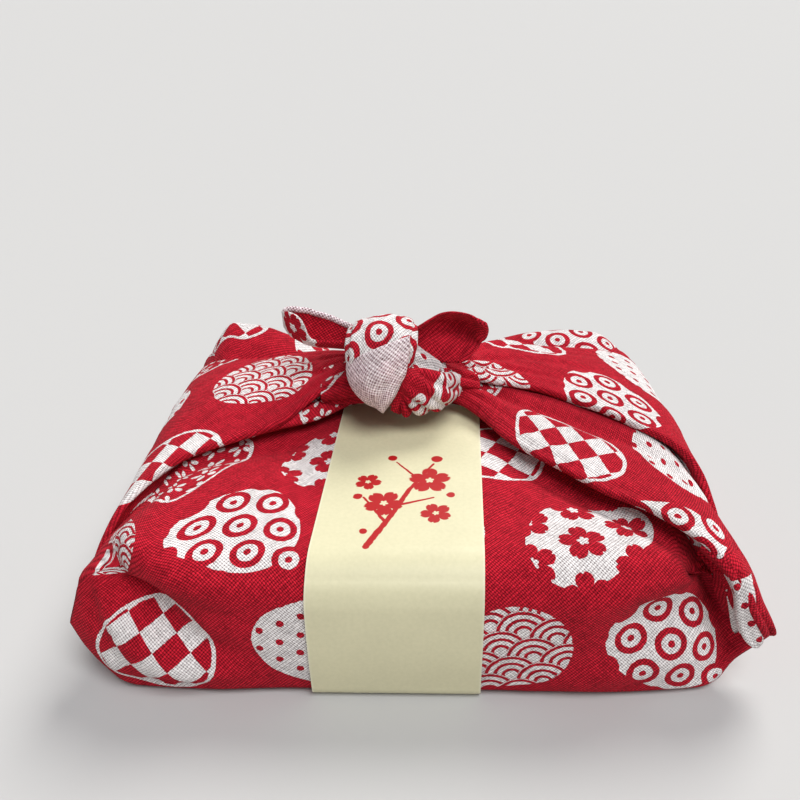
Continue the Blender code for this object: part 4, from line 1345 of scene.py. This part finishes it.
def cotton(name, printed=1.0, coarse=1.0, loose=0.0, ground=(RED_SHADE, RED, RED_GAP_SHADE)):
    """Printed where printed is 1; where it is less the print only shows through from behind."""
    t = Tree(name, roughness=0.95, specular=0.1)
    t.shader.inputs["Sheen Weight"].default_value = 0.02
    t.shader.inputs["Sheen Roughness"].default_value = 0.5
    x, y = t.uv()
    height, holes, slub = weave(t, x, y, coarse, loose)
    tone = t.noise(x, y, 0.035, 2.0, 12.0)
    fuzz = t.noise(x, y, 2.6, 1.0, 20.0)
    # Painted shade: the threads' crowns take the lit colour and the hollows between them the shaded one.
    lit = (height + (fuzz - 0.5) * 0.35).ramp(0.12, 0.92)
    shade, bright, gap = ground
    colour = t.mix(lit, shade, bright)
    if printed:
        white = (medallions(t, x, y) + (fuzz - 0.5) * 0.3).ramp(0.36, 0.64) * printed
        colour = t.mix(white, colour, t.mix(lit.ramp(0.0, 0.62), WHITE_SHADE, WHITE))
        # Painted shade seen through the holes between threads, under red cloth or under the white print.
        gap = t.mix(white, gap, WHITE_GAP_SHADE)
    colour = t.mix(holes * 0.92, colour, gap)
    colour = t.shade(colour, tone * 0.34 + slub * 0.36 + 0.66)
    return t.finish(colour, height + fuzz * 0.3, distance=0.00024 * coarse, strength=0.7)


# ---- the paper

CREAM = (0.66, 0.62, 0.415)
CREAM_SHADE = (0.62, 0.585, 0.385)
CUT_EDGE = (0.80, 0.77, 0.62)
INK = (0.40, 0.004, 0.006)
# The band's ornament, across and along the paper. Twigs: from x, y to x, y, half width at each end
TWIGS = (
    (-9.0, 51.0, -3.0, 65.0, 1.1, 0.9),
    (-3.0, 65.0, 2.0, 79.0, 0.9, 0.75),
    (2.0, 79.0, 9.5, 94.0, 0.75, 0.4),
    (-4.0, 62.0, -12.0, 75.0, 0.6, 0.35),
    (-1.0, 71.0, 10.0, 75.0, 0.6, 0.35),
    (5.0, 85.0, -3.0, 95.0, 0.5, 0.3),
)
# x, y, size, angle in radians
BLOSSOMS = ((-5.5, 72.0, 6.4, 0.2), (8.5, 84.5, 7.0, 0.9), (11.0, 67.0, 5.0, 0.5), (-11.5, 83.5, 4.4, 1.4))
# x, y, size
BUDS = ((10.5, 97.0, 1.9), (-4.5, 97.5, 1.6), (-14.0, 75.5, 1.5), (15.5, 76.5, 1.4), (-10.5, 58.0, 1.3))


def twig(x, y, from_x, from_y, to_x, to_y, start, end):
    dx = to_x - from_x
    dy = to_y - from_y
    t = ((x - from_x) * dx + (y - from_y) * dy).ramp(0.0, dx * dx + dy * dy)
    away = length(x - from_x - t * dx, y - from_y - t * dy)
    return (start + t * (end - start) - away).ramp(-0.1, 0.1)


def sprig(t, x, y):
    """A plum twig in brush strokes: 1 where there is ink."""
    brush = t.noise(x, y, 0.5, 3.0, 7.0) - 0.5
    x = x + brush * 0.9
    parts = [twig(x, y, *row) for row in TWIGS]
    for place_x, place_y, size, angle in BLOSSOMS:
        c, s = math.cos(angle), math.sin(angle)
        dx = x - place_x
        dy = y - place_y
        parts.append(flower(dx * c - dy * s, dx * s + dy * c, size))
    for place_x, place_y, size in BUDS:
        parts.append((size - length(x - place_x, y - place_y)).ramp(-0.1, 0.1))
    ink = parts[0]
    for part in parts[1:]:
        ink = ink.high(part)
    return ink * (brush + 0.5).ramp(0.1, 0.26)


def paper(name):
    t = Tree(name, roughness=0.42, specular=0.3)
    x, y = t.uv()
    grain = t.noise(x, y, 0.8, 4.0, 1.0)
    cloud = t.noise(x, y, 0.05, 2.0, 2.0)
    colour = t.shade(t.mix(grain.ramp(0.3, 0.7), CREAM_SHADE, CREAM), cloud * 0.14 + 0.93)
    colour = t.mix(sprig(t, x, y), colour, INK)
    rim = (PAPER_WIDTH / 2 - abs(x)).ramp(0.0, 0.7)
    colour = t.mix((1.0 - rim) * 0.5, colour, CUT_EDGE)
    return t.finish(colour, grain, distance=0.00003, strength=0.5)


# ---- the floor, in metres

FLOOR_FLAT = 5.0  # radius of the flat part
FLOOR_BEND = 6.0  # radius of the curve beyond it
FLOOR_SLOPES = range(3, 22, 3)
FLOOR_END = (24.0, 6.8)  # radius and height of the rim
FLOOR_AROUND = 48
FLOOR_COLOUR = (0.50, 0.495, 0.487, 1.0)


def make_floor():
    """A plain pale floor that rises gently all round, far off."""
    profile = [(0.0, 0.0), (FLOOR_FLAT, 0.0)]
    for slope in FLOOR_SLOPES:
        a = math.radians(slope)
        profile.append((FLOOR_FLAT + FLOOR_BEND * math.sin(a), FLOOR_BEND * (1 - math.cos(a))))
    profile.append(FLOOR_END)
    n = len(profile)
    verts = []
    faces = []
    for i in range(FLOOR_AROUND):
        turn = 2 * math.pi * i / FLOOR_AROUND
        verts += [(r * math.cos(turn), r * math.sin(turn), z) for r, z in profile]
        a = i * n
        b = (i + 1) % FLOOR_AROUND * n
        faces += [(a + k + 1, b + k + 1, b + k, a + k) for k in range(n - 1)]
    mesh = bpy.data.meshes.new("floor")
    mesh.from_pydata(verts, [], faces)
    mesh.shade_smooth()
    floor = add_object("floor", mesh)
    t = Tree("floor_pale", roughness=0.9, specular=0.1)
    t.shader.inputs["Base Color"].default_value = FLOOR_COLOUR
    mesh.materials.append(t.material)


# ---- light and camera, in metres

CAMERA_PLACE = (0.0036, -0.247, 0.1985)
CAMERA_DOWN = 29.19
CAMERA_TURN = 2.0  # to the left
CAMERA_ROLL = -1.01
CAMERA_LENS = 36.09  # mm, on a 36 mm wide sensor


def sun(name, place, strength, spread, colour):
    """Even light from the direction of place; spread, degrees, softens its shadows."""
    light = bpy.data.lights.new(name, "SUN")
    light.energy = strength
    light.angle = math.radians(spread)
    light.color = colour
    made = add_object(name, light)
    made.location = place
    made.rotation_euler = Vector(place).to_track_quat("Z", "Y").to_euler()


def light_room():
    sun("window", (0.5, 0.85, 1.15), 2.7, 30.0, (1.0, 0.985, 0.96))
    sun("room", (0.4, -0.6, 1.35), 2.5, 36.0, (0.97, 0.98, 1.0))
    world = bpy.data.worlds.new("room_light")
    world.use_nodes = True
    background = world.node_tree.nodes["Background"]
    background.inputs["Color"].default_value = (0.93, 0.95, 1.0, 1.0)
    background.inputs["Strength"].default_value = 0.15
    bpy.context.scene.world = world


def make_camera():
    data = bpy.data.cameras.new("camera")
    data.lens = CAMERA_LENS
    data.sensor_width = 36.0
    camera = add_object("camera", data)
    turn = Matrix.Rotation(math.radians(CAMERA_TURN), 4, "Z")
    tilt = Matrix.Rotation(math.radians(90 - CAMERA_DOWN), 4, "X")
    roll = Matrix.Rotation(math.radians(CAMERA_ROLL), 4, "Z")
    camera.matrix_world = Matrix.Translation(CAMERA_PLACE) @ turn @ tilt @ roll
    bpy.context.scene.camera = camera


# ---- assembling

wrap = make_cloth()
wrap.data.materials.append(cotton("cotton_front"))
wrap.data.materials.append(cotton("cotton_reverse", 0.3, 1.2, 0.32, (PINK_SHADE, PINK, PINK_GAP_SHADE)))
wrap.data.materials.append(cotton("cotton_red", 0.0, 1.15))
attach(wrap, "root")
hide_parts("cloth")

band = make_band()
band.data.materials.append(paper("band_card"))
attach(band, "root")
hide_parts("paper_band")

make_floor()
light_room()
make_camera()
bpy.context.scene.view_settings.view_transform = "Standard"
